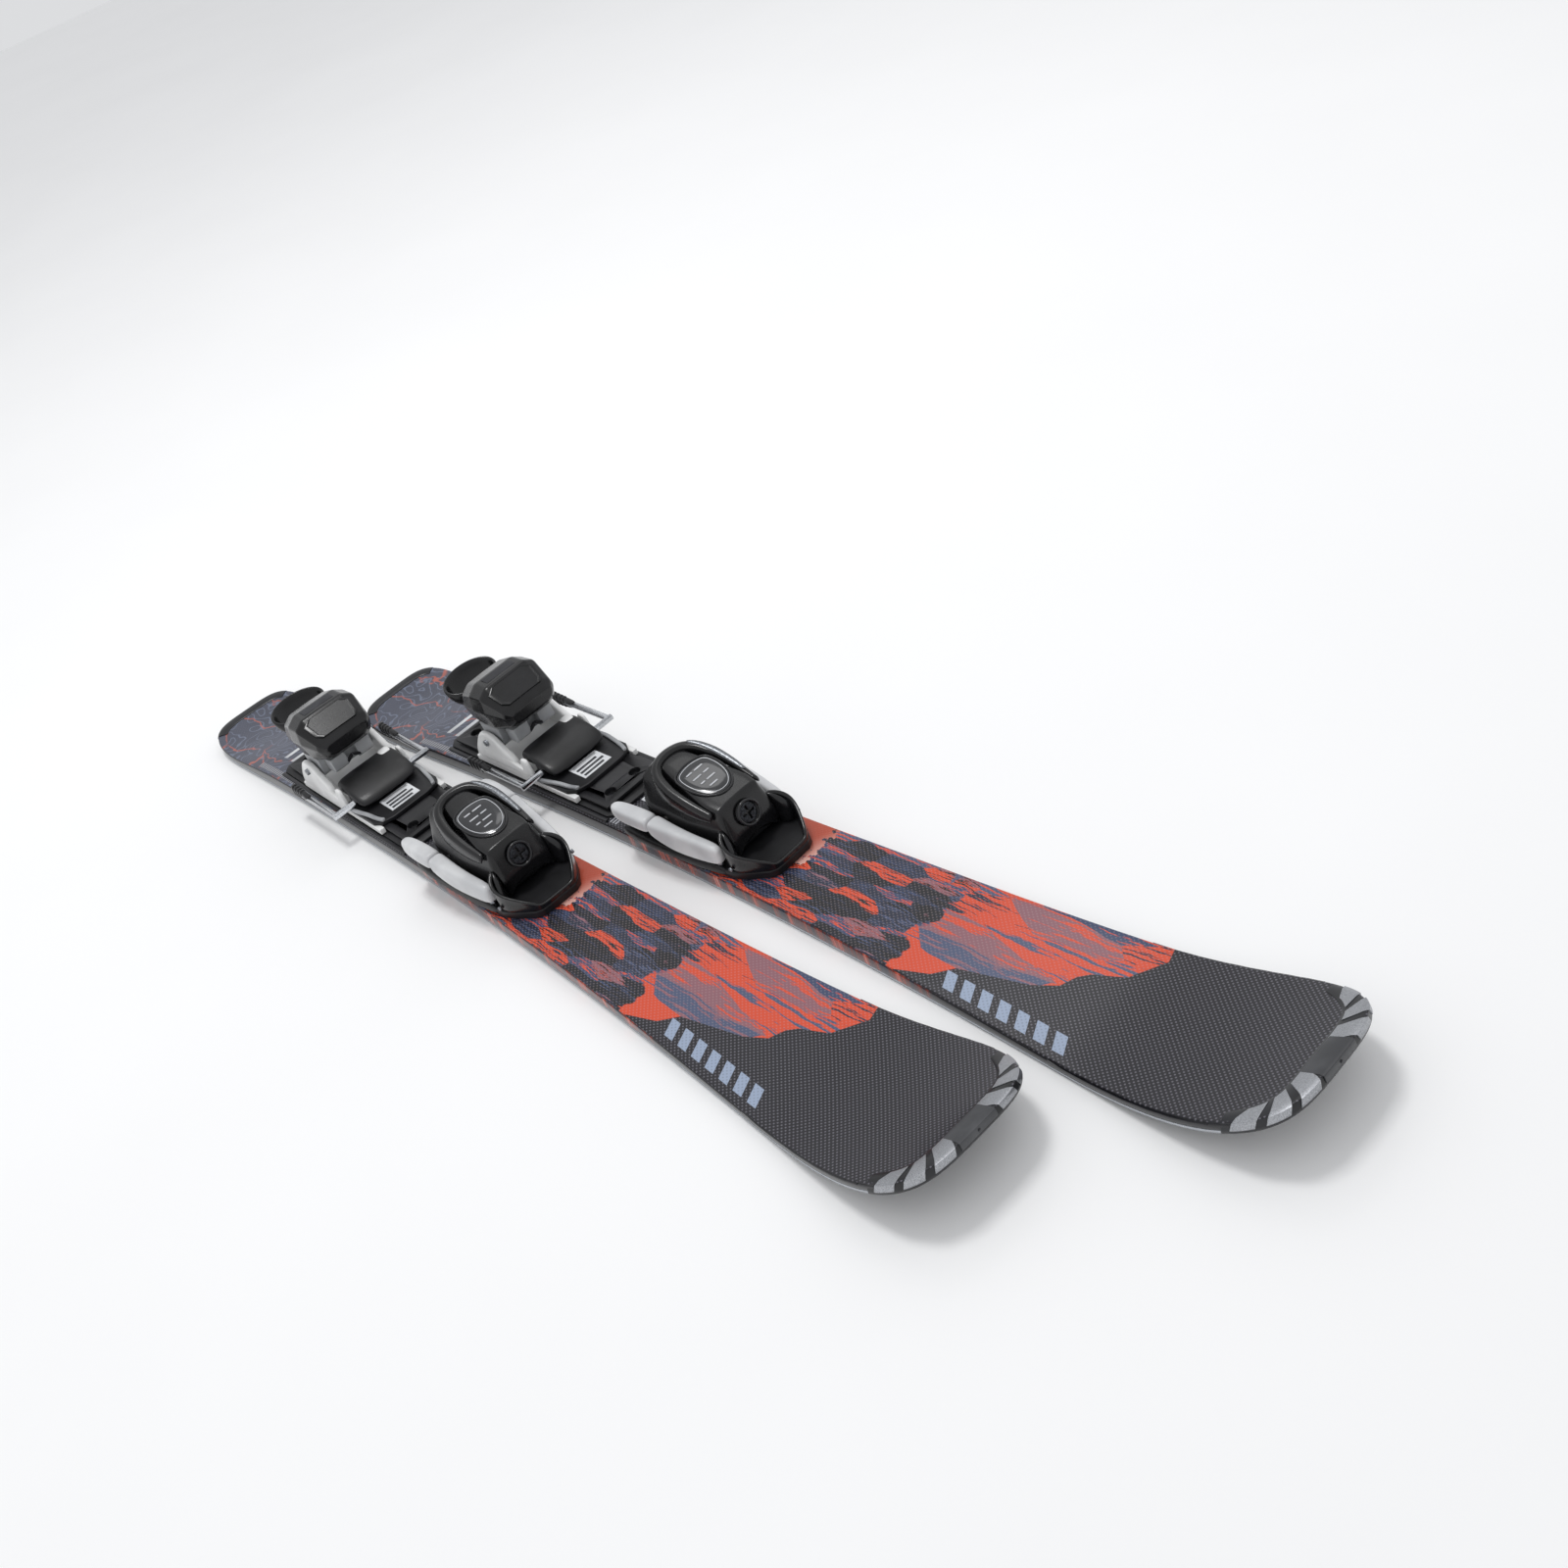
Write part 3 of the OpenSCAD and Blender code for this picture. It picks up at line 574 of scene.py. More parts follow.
def wood():
    m = Mat("core_wood", 0.6)
    at = m.node("Mapping", None, Vector=m.object_space(), Scale=(1.0, 14.0, 14.0)).outputs[0]
    m.colour(m.mix(m.noise(at, 30.0, 5.0, 0.6), srgb("A9855A"), srgb("D2B17F")))
    m.bump(m.noise(at, 60.0, 3.0), 0.00005)
    return m.mat


def floor_paint():
    m = Mat("floor_pale", 0.9, spec=0.1)
    m.colour(m.mix(m.noise(m.object_space(), 3.0, 3.0), srgb("F6F6F6"), srgb("FBFBFB")))
    return m.mat


def finishes(maker, **table):
    """One material for each row of a table."""
    return {name: maker(name, *look) for name, look in table.items()}


MATS = {"core_wood": wood(), "sidewall_gloss": sidewall_gloss(),
        "topsheet_print": topsheet_print(), "window_clear": clear_window()}
# dark, light, roughness, grain size, bump, coat, spread of roughness, worn edge
MATS.update(finishes(plastic, sole_black=("0C0C0E", "17181B", 0.42, 900.0, 0.00002),
    protector_black=("121315", "212226", 0.34, 1500.0, 0.00003, 0.2),
    protector_grey=("36373A", "4B4C4F", 0.36, 1500.0, 0.00003, 0.2),
    binding_black=("09090A", "161618", 0.26, 1800.0, 0.00003, 0.3, 0.12, "303034"),
    base_black=("0E0E0F", "1A1A1C", 0.4, 1500.0, 0.00006, 0.0, 0.14, "3C3C40"),
    wing_grey=("C4C5C7", "DADBDC", 0.36, 1800.0, 0.00003, 0.15, 0.1, "EAEAEB"),
    pad_dark=("2A2B2E", "3C3D41", 0.6, 1200.0, 0.00008),
    track_black=("121214", "1F1F22", 0.42, 1500.0, 0.00005, 0.1, 0.12, "38383B"),
    carriage_white=("E4E4E3", "F4F4F3", 0.34, 1600.0, 0.00003, 0.25),
    cup_grey=("85878A", "A6A8AA", 0.36, 1600.0, 0.00003, 0.15, 0.1, "C4C5C7"),
    pedal_black=("101011", "1D1D1F", 0.42, 1400.0, 0.00006, 0.1, 0.14, "343437"),
    claw_black=("0F0F10", "1C1C1E", 0.36, 1500.0, 0.00005, 0.2),
    mark_white=("C9CBCF", "E4E6E8", 0.4)))
# dark, light, roughness, stretch of the marks
MATS.update(finishes(metal, edge_steel=("8F9399", "C9CCD1", 0.24, (1.0, 12.0, 12.0)),
    protector_silver=("86888C", "BCBEC2", 0.36, (3.0, 3.0, 1.0)),
    screw_steel=("6E7176", "A9ACB1", 0.3), inlay_grey=("606266", "9DA0A4", 0.32),
    spring_steel=("55585C", "8B8E93", 0.35), din_screw=("1E1F22", "46484C", 0.38),
    wire_steel=("B9BCC1", "E4E6E9", 0.12)))

# each CAD node's finish, and how far its edges are rounded in millimetres
NODE_FINISH = {
    "base": ("sole_black", 0), "core": ("core_wood", 0), "tip_spacer": ("sidewall_gloss", 0),
    "binding_screws": ("screw_steel", 0.35), "toe_spring": ("spring_steel", 0),
    "toe_din_screw": ("din_screw", 0.3), "afd_pad": ("pad_dark", 0.6),
    "heel_track": ("track_black", 0.4), "heel_latch": ("base_black", 0.4),
    "heel_spring": ("spring_steel", 0), "heel_din_screw": ("din_screw", 0.3),
    "heel_pin": ("screw_steel", 0.4), "brake_arms": ("wire_steel", 0),
    "heel_cup": ("cup_grey", 0.6), "toe_inlay": ("inlay_grey", 0.15),
    "topsheet": ("topsheet_print", 0), "edges": ("edge_steel", 0),
    "sidewalls": ("sidewall_gloss", 0), "tip_protector": ("protector_black", 0.5),
    "tail_protector": ("protector_black", 0.5), "toe_base": ("base_black", 0.6),
    "toe_housing": ("binding_black", 0.8), "toe_window": ("window_clear", 0.2),
    "toe_wing_left": ("wing_grey", 0.8), "toe_wing_right": ("wing_grey", 0.8),
    "heel_carriage": ("carriage_white", 0.5), "heel_housing": ("binding_black", 1.2),
    "heel_lever": ("binding_black", 0.8), "brake_pedal": ("pedal_black", 0.8),
    "brake_claws": ("claw_black", 0.5),
}


def dress_frame():
    """Every CAD node gets its material, and softer edges where it stays in view."""
    for name, obj in frame["nodes"].items():
        finish, bevel = NODE_FINISH[name.split("_", 1)[1]]
        if not obj.material_slots:
            obj.data.materials.append(None)
        for s in obj.material_slots:
            s.material = MATS[finish]
        for poly in obj.data.polygons:
            poly.use_smooth = True
        soften(obj, bevel, weld=True)


# ---------------------------------------------------------------- the ski's layers

def tucked(inset):
    """An outline that steps inwards where the end caps cover it."""
    out = []
    for (x, y), (x2, y2) in zip(full_outline(inset), full_outline(inset + 2.0)):
        f = max(smooth((x - 871) / 5), smooth((5 - x) / 3))
        out.append((x + (x2 - x) * f, y + (y2 - y) * f))
    return out


def ring_solid(name, profile, finish, side, **kw):
    """A closed band round the ski: (inset, height at x) for each line of its section."""
    rings = [[(x, y, height(x)) for x, y in tucked(inset)] for inset, height in profile]
    verts, faces = bridge(rings, closed=True)
    return build(name, verts, faces, finish, side, deck=False, uv=True, **kw)


def above_sole(h):
    return lambda x: sole(x) + h


def below_top(d):
    return lambda x: top(x) - d


def topsheet(side):
    """The printed sheet: a shoulder round the rim and a grid across the middle."""
    columns = 10
    rim = ((6.0, 0.0), (1.7, 0.0), (1.0, 0.12), (0.66, 0.42), (0.6, 1.0), (6.0, 1.0))
    rings = [[(x, y, top(x) - d) for x, y in full_outline(inset)] for inset, d in rim]
    verts, faces = bridge(rings, caps=False)
    half = half_outline(6.0)
    for d in (0.0, 1.0):
        start = len(verts)
        for x, y in half:
            verts += [(x, y * (1 - 2 * k / columns), top(x) - d) for k in range(columns + 1)]
        for i in range(len(half) - 1):
            for k in range(columns):
                a = start + i * (columns + 1) + k
                faces.append((a, a + 1, a + columns + 2, a + columns + 1))
    build("topsheet_print", verts, faces, "topsheet_print", side, deck=False, uv=True,
        replaces=("topsheet",))


def end_line(front):
    """Points from one side of an end round to the other, with outward directions."""
    pts = [Vector((x, y, 0)) for x, y in full_outline(0.0)]
    n = len(pts)
    mid = max(range(n), key=lambda i: pts[i].x) if front else min(range(n), key=lambda i: pts[i].x)
    pts = [pts[(mid + k) % n] for k in range(-70, 71)]
    run, total = [0.0], 0.0
    for a, b in zip(pts, pts[1:]):
        total += (b - a).length
        run.append(total)
    centre = run[70]
    return pts, [r - centre for r in run]


def end_point(line, s):
    """Place and outward direction at a distance s from the middle of an end."""
    pts, run = line
    i = next((k for k in range(len(run) - 1) if run[k + 1] >= s), len(run) - 2)
    t = (s - run[i]) / max(1e-9, run[i + 1] - run[i])
    p = pts[i].lerp(pts[i + 1], t)
    ahead, behind = pts[min(len(pts) - 1, i + 3)], pts[max(0, i - 2)]
    tangent = (ahead - behind).normalized()
    return p, Vector((tangent.y, -tangent.x, 0))


def end_band(name, front, s0, s1, profile, finish, side, slant=0.0, steps=40, **kw):
    """A strip of an end cap between two places, its section given as (inward, height, lean)."""
    line = end_line(front)
    rings = []
    for j in range(steps + 1):
        ring = []
        for inward, height, lean in profile:
            s = s0 + (s1 - s0) * j / steps
            s += slant * lean * (1 if s0 + s1 > 0 else -1)
            p, out = end_point(line, s)
            if (out.x > 0) != front:
                out = -out
            depth = inward(s) if callable(inward) else inward
            q = p - out * depth
            kind, h = height
            ring.append((q.x, q.y, (top(p.x - out.x * depth) + h) if kind == "top"
                else sole(p.x - out.x * depth) + h))
        rings.append(ring)
    verts, faces = bridge(rings)
    return build(name, verts, faces, finish, side, deck=False, **kw)


TIP_REACH = 72.0
TAIL_REACH = 40.0


def tip_depth(s):
    return 15.8 - 8.5 * (abs(s) / TIP_REACH) ** 2.2


def tip_protector(side):
    """A dark cap with pale slanted plates over its upper facet and its front face."""
    body = ((lambda s: tip_depth(s), ("top", -0.4), 0), (lambda s: tip_depth(s), ("top", 0.3), 0),
        (lambda s: tip_depth(s) - 0.8, ("top", 0.6), 0), (2.6, ("top", 0.5), 0),
        (0.6, ("top", -0.6), 0), (-0.5, ("sole", 3.0), 0), (-0.6, ("sole", 1.4), 0),
        (-0.2, ("sole", 0.3), 0), (0.6, ("sole", 0.05), 0), (4.0, ("sole", 0.05), 0))
    end_band("tip_cap", True, -TIP_REACH, TIP_REACH, body, "protector_black", side, steps=90,
        replaces=("tip_protector",), bevel=0.3, angle=50)
    plate = ((lambda s: tip_depth(s) - 1.4, ("top", 0.4), 1.0),
        (lambda s: tip_depth(s) - 1.7, ("top", 0.95), 1.0), (2.8, ("top", 0.85), 0.35),
        (-0.1, ("top", -0.5), 0.15), (-1.0, ("sole", 3.0), 0.0), (-0.5, ("sole", 2.2), 0.0),
        (1.4, ("top", -1.5), 0.15), (3.4, ("top", 0.2), 0.35))
    spans = ((17.5, 31.0), (36.5, 48.5), (54.0, 67.0))
    for sign, word in ((1, "outer"), (-1, "inner")):
        for k, (a, b) in enumerate(spans):
            end_band(f"tip_band_{word}_{k + 1}", True, sign * a, sign * b, plate,
                "protector_silver", side, slant=-8.0, steps=12, bevel=0.2, angle=40)
    end_band("tip_centre_plate", True, -13.5, 13.5, plate, "protector_grey", side, steps=16,
        bevel=0.2, angle=40)
    front = end_point(end_line(True), 0.0)[0]
    tube("tip_dimple", [(front.x + 0.2, 0, sole(900) + 5.1), (front.x + 0.95, 0, sole(900) + 5.0)],
        0.9, "base_black", side, deck=False, slot=None)


def tail_protector(side):
    body = ((9.6, ("top", -0.4), 0), (9.6, ("top", 0.3), 0), (8.8, ("top", 0.7), 0),
        (2.0, ("top", 0.7), 0), (0.3, ("top", -0.2), 0), (-0.5, ("top", -1.6), 0),
        (-0.5, ("sole", 1.4), 0), (0.2, ("sole", 0.2), 0), (3.0, ("sole", 0.1), 0))
    end_band("tail_cap", False, -TAIL_REACH, TAIL_REACH, body, "protector_black", side, steps=60,
        replaces=("tail_protector",), bevel=0.3, angle=50)


def ski_layers(side):
    topsheet(side)
    ring_solid("sidewall_band", ((0.6, below_top(1.0)), (0.15, below_top(1.5)),
        (0.0, below_top(2.4)), (0.0, above_sole(2.9)), (0.25, above_sole(2.2)),
        (6.0, above_sole(2.2)), (6.0, below_top(1.0))), "sidewall_gloss", side,
        replaces=("sidewalls",))
    ring_solid("steel_edge", ((0.12, above_sole(2.2)), (0.0, above_sole(2.05)),
        (0.0, above_sole(0.15)), (0.15, above_sole(0.0)), (2.2, above_sole(0.0)),
        (2.2, above_sole(1.4)), (6.0, above_sole(1.4)), (6.0, above_sole(2.2))), "edge_steel",
        side, replaces=("edges",))
    tip_protector(side)
    tail_protector(side)
    for k, x in enumerate((112.0, 124.0)):
        prism(f"tail_bar_{k + 1}", "z", ((x, -19), (x + 4.6, -18), (x + 4.6, 22), (x, 21)), top(x)
            - 0.1, top(x) + 0.12, "mark_white", side, deck=False)


# ---------------------------------------------------------------- toe piece

def mirror_outline(half):
    return half + [(x, -y) for x, y in reversed(half) if abs(y) > 1e-6]


def toe_roof(x):
    """Height of the toe housing's top line."""
    line = ((388, 40), (391, 50), (396, 55.0), (402, 56.4), (410, 55.6), (417, 53.6), (468, 43.6),
        (469.2, 41), (471.6, 33), (475.4, 20))
    for (a, p), (b, q) in zip(line, line[1:]):
        if x <= b:
            return p + (q - p) * max(0.0, (x - a) / (b - a))
    return line[-1][1]


def toe_housing(side):
    """The domed body: the same few lines carried from the rear to the front panel."""
    stations = ((388.3, 19.0), (390, 22.5), (393, 24.5), (398, 25.8), (408, 26), (420, 26),
        (434, 26), (446, 24.8), (456, 23.4), (463, 22.2), (467.6, 21.4), (469.2, 21.0),
        (471.4, 20.4), (475, 19.8))
    rings = []
    for x, wide in stations:
        h = toe_roof(x)
        low = 6.0 if x < 470 else 6.0 + (x - 470) * 1.2
        top_wide = min(wide * 0.82, 9 + (57.5 - h) * 0.85) if h > 43 else wide * 0.8
        knee = min(h - 5, 30.0)
        half = [(0, h + 0.2), (top_wide * 0.5, h + 0.1), (top_wide * 0.86, h - 0.4),
            (top_wide, h - 1.4), (top_wide + (wide - top_wide) * 0.5, (h + knee) / 2),
            (wide * 0.99, knee), (wide, knee - 3), (wide, knee - 12), (wide, low + 1.5),
            (wide - 1.5, low), (0, low)]
        ring = [(x, y, z) for y, z in half] + [(x, -y, z) for y, z in reversed(half[1:-1])]
        rings.append(ring)
    n = len(rings[0])
    verts, faces = bridge(rings)
    sharp = {3, n - 3}

    def crease(a, b):
        ja, jb, ia, ib = a // n, b // n, a % n, b % n
        if ia == ib and ia in sharp:
            return 0.75
        if ia == ib and ia in (5, n - 5):
            return 0.35
        if ja == jb and ja in (10,):
            return 0.8
        if ja == jb and ja == len(stations) - 1:
            return 0.9
        return 0.0

    build("toe_body", verts, faces, "binding_black", side, subsurf=2, crease=crease,
        replaces=("toe_housing",))


def toe_crown(side):
    """The raised rim that arches over the rear and runs down both flanks."""
    half = [(464, 20.6, 41.4), (452, 22.0, 44.4), (438, 22.8, 48.2), (424, 22.2, 51.8),
        (411, 18.6, 55.2), (403, 11.6, 57.2), (400.0, 0, 57.8)]
    line = spline(half + [(x, -y, z) for x, y, z in reversed(half[:-1])], 7)
    outs, sections = [], []
    n = len(line)
    for i, p in enumerate(line):
        t = line[min(n - 1, i + 1)] - line[max(0, i - 1)]
        out = Vector((-t.y, t.x, 0))
        outs.append(out if out.dot(p - Vector((430, 0, 0))) > 0 else -out)
        k = math.sin(math.pi * (i + 2) / (n + 3)) ** 0.5
        sections.append([(2.4 + 1.4 * k, -15 * k - 3), (2.6 + 0.9 * k, -8 * k - 1),
            (2.2 + 0.6 * k, -1.6), (1.2 + 0.2 * k, 0.6 * k), (-2.2 * k, 1.2 * k),
            (-4.6 * k, 0.5 * k), (-5.4 * k, -1.4), (-5.4 * k, -6 * k)])
    sweep("toe_crown", line, outs, sections, "binding_black", side, subsurf=1)
    part = range(6, n // 2 - 10)
    count = len(part)
    flat = []
    for j in range(count):
        k = math.sin(math.pi * (j + 1) / (count + 1)) ** 0.4
        flat.append([(1.6 * k, 0.1), (1.5 * k, 1.35), (-0.6, 1.75), (-2.9 * k, 1.45),
            (-3.1 * k, 0.2)])
    sweep("toe_inlay_strip", [line[i] for i in part], [outs[i] for i in part], flat, "inlay_grey",
        side, replaces=("toe_inlay",))


def on_roof(u, v, lift):
    """A place on the sloping top of the toe piece."""
    slope = math.atan2(10.2, 52.0)
    c, s = math.cos(slope), math.sin(slope)
    return 417 + u * c + lift * s, v, 53.62 - u * s + lift * c


def toe_window(side):
    half = [(5.0, 0), (6.2, 8), (9.5, 13.2), (18, 14.8), (28, 13.9), (36, 10.8), (41.5, 5.6)]
    loop = spline([(u, v, 0) for u, v in half + [(43, 0)]
        + [(u, -v) for u, v in reversed(half[1:])]], 4, closed=True)

    def ring(scale, lift):
        return [on_roof(24 + (p.x - 24) * scale, p.y * scale, lift) for p in loop]

    verts, faces = bridge([ring(1.0, -0.2), ring(1.0, 0.75), ring(0.965, 1.1), ring(0.6, 1.16)])
    build("toe_lens", verts, faces, "window_clear", side, replaces=("toe_window",))
    # The thin white ring just inside the lens rim is a painted reflection: it stands in for the
    # glare along the window's rim.
    tube("toe_lens_painted_glare", ring(0.9, 1.16), 0.27, "mark_white", side, closed=True, sides=6,
        slot="window_clear")
    tube("toe_lens_frame", ring(1.05, 0.35), 0.85, "binding_black", side, closed=True, sides=8)
    bars = ((13, -8, 5.0), (13, -1, 7.6), (19.5, -8, 7.4), (19.5, 1.4, 5.0), (26, -7, 3.6),
        (26, -1.6, 7.4), (32, -4.6, 7.0))
    verts, faces = [], []
    for u, v, run in bars:
        start = len(verts)
        for lift in (1.15, 1.5):
            verts += [on_roof(u, v, lift), on_roof(u + 1.1, v, lift),
                on_roof(u + 1.1, v + run, lift), on_roof(u, v + run, lift)]
        a = start
        faces += [(a, a + 1, a + 2, a + 3), (a + 4, a + 5, a + 6, a + 7), (a, a + 1, a + 5, a + 4),
            (a + 1, a + 2, a + 6, a + 5), (a + 2, a + 3, a + 7, a + 6), (a + 3, a, a + 4, a + 7)]
    build("toe_scale_bars", verts, faces, "mark_white", side, slot="window_clear")


def din_point(r, a, out):
    """A place round the release screw, out from its face."""
    c, s = math.cos(DIN_TILT), math.sin(DIN_TILT)
    y, w = r * math.cos(a), r * math.sin(a)
    return TOE_X + out * c - w * s, y, DIN_HEIGHT + out * s + w * c


def toe_front(side):
    circle = [2 * math.pi * k / 28 for k in range(28)]
    tube("toe_screw_ring", [din_point(8.3, a, 0.9) for a in circle], 1.1, "binding_black", side,
        closed=True, sides=8)
    plan = [(468, 22), (472, 26.8), (478, 29.6), (485, 28.6), (494, 23.6), (502, 17.6),
        (505, 13.0), (505.4, 0)]
    line = spline([(x, y, 0) for x, y in plan] + [(x, -y, 0) for x, y in reversed(plan[:-1])], 5)
    outs, sections = [], []
    n = len(line)
    for i, p in enumerate(line):
        t = line[min(n - 1, i + 1)] - line[max(0, i - 1)]
        outs.append(Vector((t.y, -t.x, 0)) * (-1 if t.y * (p.x - 470) - t.x * p.y < 0 else 1))
        f = abs(2 * i / (n - 1) - 1)
        h = 9.4 + 20.5 * (0.35 * smooth((f - 0.1) / 0.8) + 0.65 * max(0.0, f - 0.12) / 0.88)
        lip = 1.1
        sections.append([(0.2, 4.5), (0.9, 6.5), (0.6, h - 2.2), (lip, h - 0.9), (lip - 0.3, h),
            (-0.6, h + 0.25), (-1.7, h - 0.6), (-2.2, h - 2.6), (-2.6, 6.8), (-3.4, 4.5)])
    sweep("toe_scoop", line, outs, sections, "binding_black", side, subsurf=1)
    for sign, word in HANDS:
        loft("toe_cheek_" + word, "x", ((461, 19, 22.8, 5, 27, 4, 0.2),
            (466, 19, 23.2, 5, 29.4, 4, 0.3), (471, 19, 24.6, 5, 29.4, 4, 0.4),
            (477, 20, 29.4, 5, 25.6, 4, 0.45), (482, 24, 30.4, 5, 18.0, 3, 0.3)), "binding_black",
            side, subsurf=1, mirror=sign < 0)
        tube("toe_stud_" + word, [(480, sign * 31.0, 9.5), (480, sign * 32.9, 9.5)], 1.5,
            "screw_steel", side, sides=14)


def toe_base(side):
    plan = [(363, 23), (366, 29), (371, 31), (430, 31.8), (470, 32.4), (480, 31.4), (489, 27.6),
        (503, 19), (506.2, 14), (506.6, 0)]
    prism("toe_plate", "z", mirror_outline(plan), 0.0, 6.0, "base_black", side, bevel=1.1,
        segments=3, replaces=("toe_base",))
    for sign, word in HANDS:
        prism("toe_rail_" + word, "y", ((369, 4), (370.5, 13), (374, 17.4), (380, 18.4),
            (404, 18.2), (416, 14), (428, 8.4), (434, 4)), 27.0, 32.0, "base_black", side,
            bevel=1.0, segments=3, mirror=sign < 0)
        loft("toe_sill_" + word, "x", ((366, 31, 34.5, 1.5, 6, 3, 0),
            (370, 30, 37.5, 0.8, 8.0, 3, 0.2), (400, 30, 38.5, 0.6, 7.4, 3, 0.3),
            (436, 30, 37.2, 0.6, 7.8, 3, 0.3), (462, 30, 34.8, 0.8, 8.2, 3, 0.3),
            (474, 30, 33.0, 1.2, 7.4, 3, 0.2)), "base_black", side, subsurf=1, mirror=sign < 0)


def toe_wings(side):
    for sign, word in HANDS:
        toe_wing(side, word, sign)


def toe_wing(side, word, sign):
    body = "toe_wing_" + word
    flip = sign < 0
    rear = ((367.6, 33.5, 36.5, 23, 28, 2.6, 0), (369, 31.6, 38.8, 21.4, 29.6, 2.8, 0.05),
        (374, 29.6, 41.4, 20.2, 31, 3.4, 0.12), (386, 28.2, 42.0, 20, 31.2, 4, 0.16),
        (400, 27.6, 41.8, 20, 31.2, 4, 0.16), (407.5, 27.6, 41.4, 20, 31, 4, 0.16),
        (409.6, 28.4, 40.6, 21, 30, 3, 0.16))
    front = ((410.4, 28.4, 40.6, 21.2, 29.6, 3, 0.1), (412, 27.5, 41.4, 19, 30.6, 4, 0.16),
        (420, 27.4, 40.8, 14.6, 29.6, 4, 0.18), (431, 27.3, 39.4, 9.6, 28.2, 4, 0.2),
        (448, 27.2, 37.4, 9.0, 26.4, 4, 0.22), (462, 25.0, 35.6, 9.0, 24.4, 4, 0.24),
        (469, 25.4, 34.4, 9.4, 23.2, 3.4, 0.2), (471.6, 27, 32.6, 11, 21, 2.6, 0.1))
    loft(body + "_rear", "x", rear, "wing_grey", side, body, subsurf=1, mirror=flip,
        replaces=(body,))
    loft(body + "_blade", "x", front, "wing_grey", side, body, subsurf=1, mirror=flip,
        replaces=(body,))
    tube(body + "_pin", [(466, sign * 29.5, 1.4), (466, sign * 29.5, 12)], 2.5, "screw_steel",
        side, body, sides=16)


# ---------------------------------------------------------------- heel piece

def heel_carriage(side):
    white, dark = "carriage_white", "base_black"
    prism("carriage_plate", "z", ((178, -28), (182, -31), (252, -31), (252, 31), (182, 31),
        (178, 28)), 6.8, 9.8, white, side, "carriage", bevel=0.8, segments=3,
        replaces=("heel_carriage",))
    prism("carriage_front", "z", ((250, -30.6), (296, -30), (303, -26), (306, -16), (306, 16),
        (303, 26), (296, 30), (250, 30.6)), 6.8, 10.2, dark, side, "carriage", bevel=0.9,
        segments=3, replaces=("heel_carriage",))
    prism("brake_block", "y", ((253, 9), (254.6, 16.2), (257.6, 18.2), (266.4, 18.2),
        (269.4, 16.2), (271, 9)), -22.2, 22.2, dark, side, "carriage", bevel=0.8, segments=3,
        replaces=("heel_carriage",))
    for sign, word in HANDS:
        flip = sign < 0
        prism("carriage_runner_" + word, "x", ((26.6, 2.9), (31, 2.9), (31, 7.4), (26.6, 7.4)),
            178, 306, white, side, "carriage", bevel=0.5, mirror=flip)
        loft("cheek_" + word, "z", ((9.0, 179.0, 236, 23.8, 31.0, 5, 0),
            (10.2, 179.4, 236, 23.8, 31.0, 5, 0), (13, 180.6, 236, 23.8, 31.0, 5, 0),
            (17, 182.8, 235, 23.8, 30.8, 5, 0), (22, 186.4, 229, 23.8, 30.4, 4.4, 0),
            (27, 190.0, 220.5, 23.8, 29.8, 4, 0), (31.6, 194.4, 214.6, 23.8, 29.2, 3.4, 0),
            (33.8, 198.4, 210.6, 24.4, 28.4, 2.6, 0)), white, side, "carriage", sides=20,
            subsurf=1, mirror=flip, replaces=("heel_carriage",))
        loft("skirt_" + word, "x", ((216, 27.4, 31.0, 9, 20.4, 4, 0),
            (226, 27.2, 31.2, 9, 18.6, 4, 0.1), (238, 27.0, 31.2, 9, 15.6, 4, 0.1),
            (248, 27.0, 31.2, 9, 14.2, 4, 0.1), (256, 27.2, 31.0, 9, 12.6, 3.4, 0.1)), white, side,
            "carriage", subsurf=1, mirror=flip)
        loft("upright_" + word, "z", ((9.4, 243, 256, 27.0, 31.0, 5, 0),
            (12, 244, 256, 27.0, 31.0, 5, 0), (18, 244.6, 254.6, 27.0, 30.8, 4, 0),
            (23, 245.4, 253.4, 27.0, 30.6, 3.4, 0), (24.4, 247, 251.8, 27.6, 30.0, 2.6, 0)), white,
            side, "carriage", subsurf=1, mirror=flip)
        trim = spline([(250, 29.2, 10.6), (262, 29.8, 10.0), (274, 29.0, 11.6), (286, 27.2, 12.2),
            (296, 25.6, 11.6), (303.5, 23.4, 11.4)], 5)
        outs = [(0, 1, 0)] * len(trim)
        band = [(-1.6, -2.2), (1.5, -2.2), (1.7, 0.2), (1.1, 1.0), (-1.2, 1.0), (-1.7, 0.2)]
        sweep("front_trim_" + word, trim, outs, [band] * len(trim), "cup_grey", side, "carriage",
            subsurf=1, mirror=flip)
        prism("latch_lug_" + word, "y", ((180, 9), (180.4, 13), (184, 14), (187.6, 13), (188, 9)),
            8.7, 12.2, white, side, "carriage", bevel=0.5, mirror=flip)
    prism("front_label", "z", ((278, -13), (299, -13), (299, 13), (278, 13)), 10.1, 10.5,
        "mark_white", side, "carriage", bevel=0.1)
    for k in range(4):
        prism(f"front_label_bar_{k + 1}", "z", ((280 + 4.8 * k, -11), (282.6 + 4.8 * k, -11),
            (282.6 + 4.8 * k, 11 - 3 * (k % 2)), (280 + 4.8 * k, 11 - 3 * (k % 2))), 10.4, 10.62,
            "protector_grey" if k else "cup_grey", side, "carriage", slot=None)


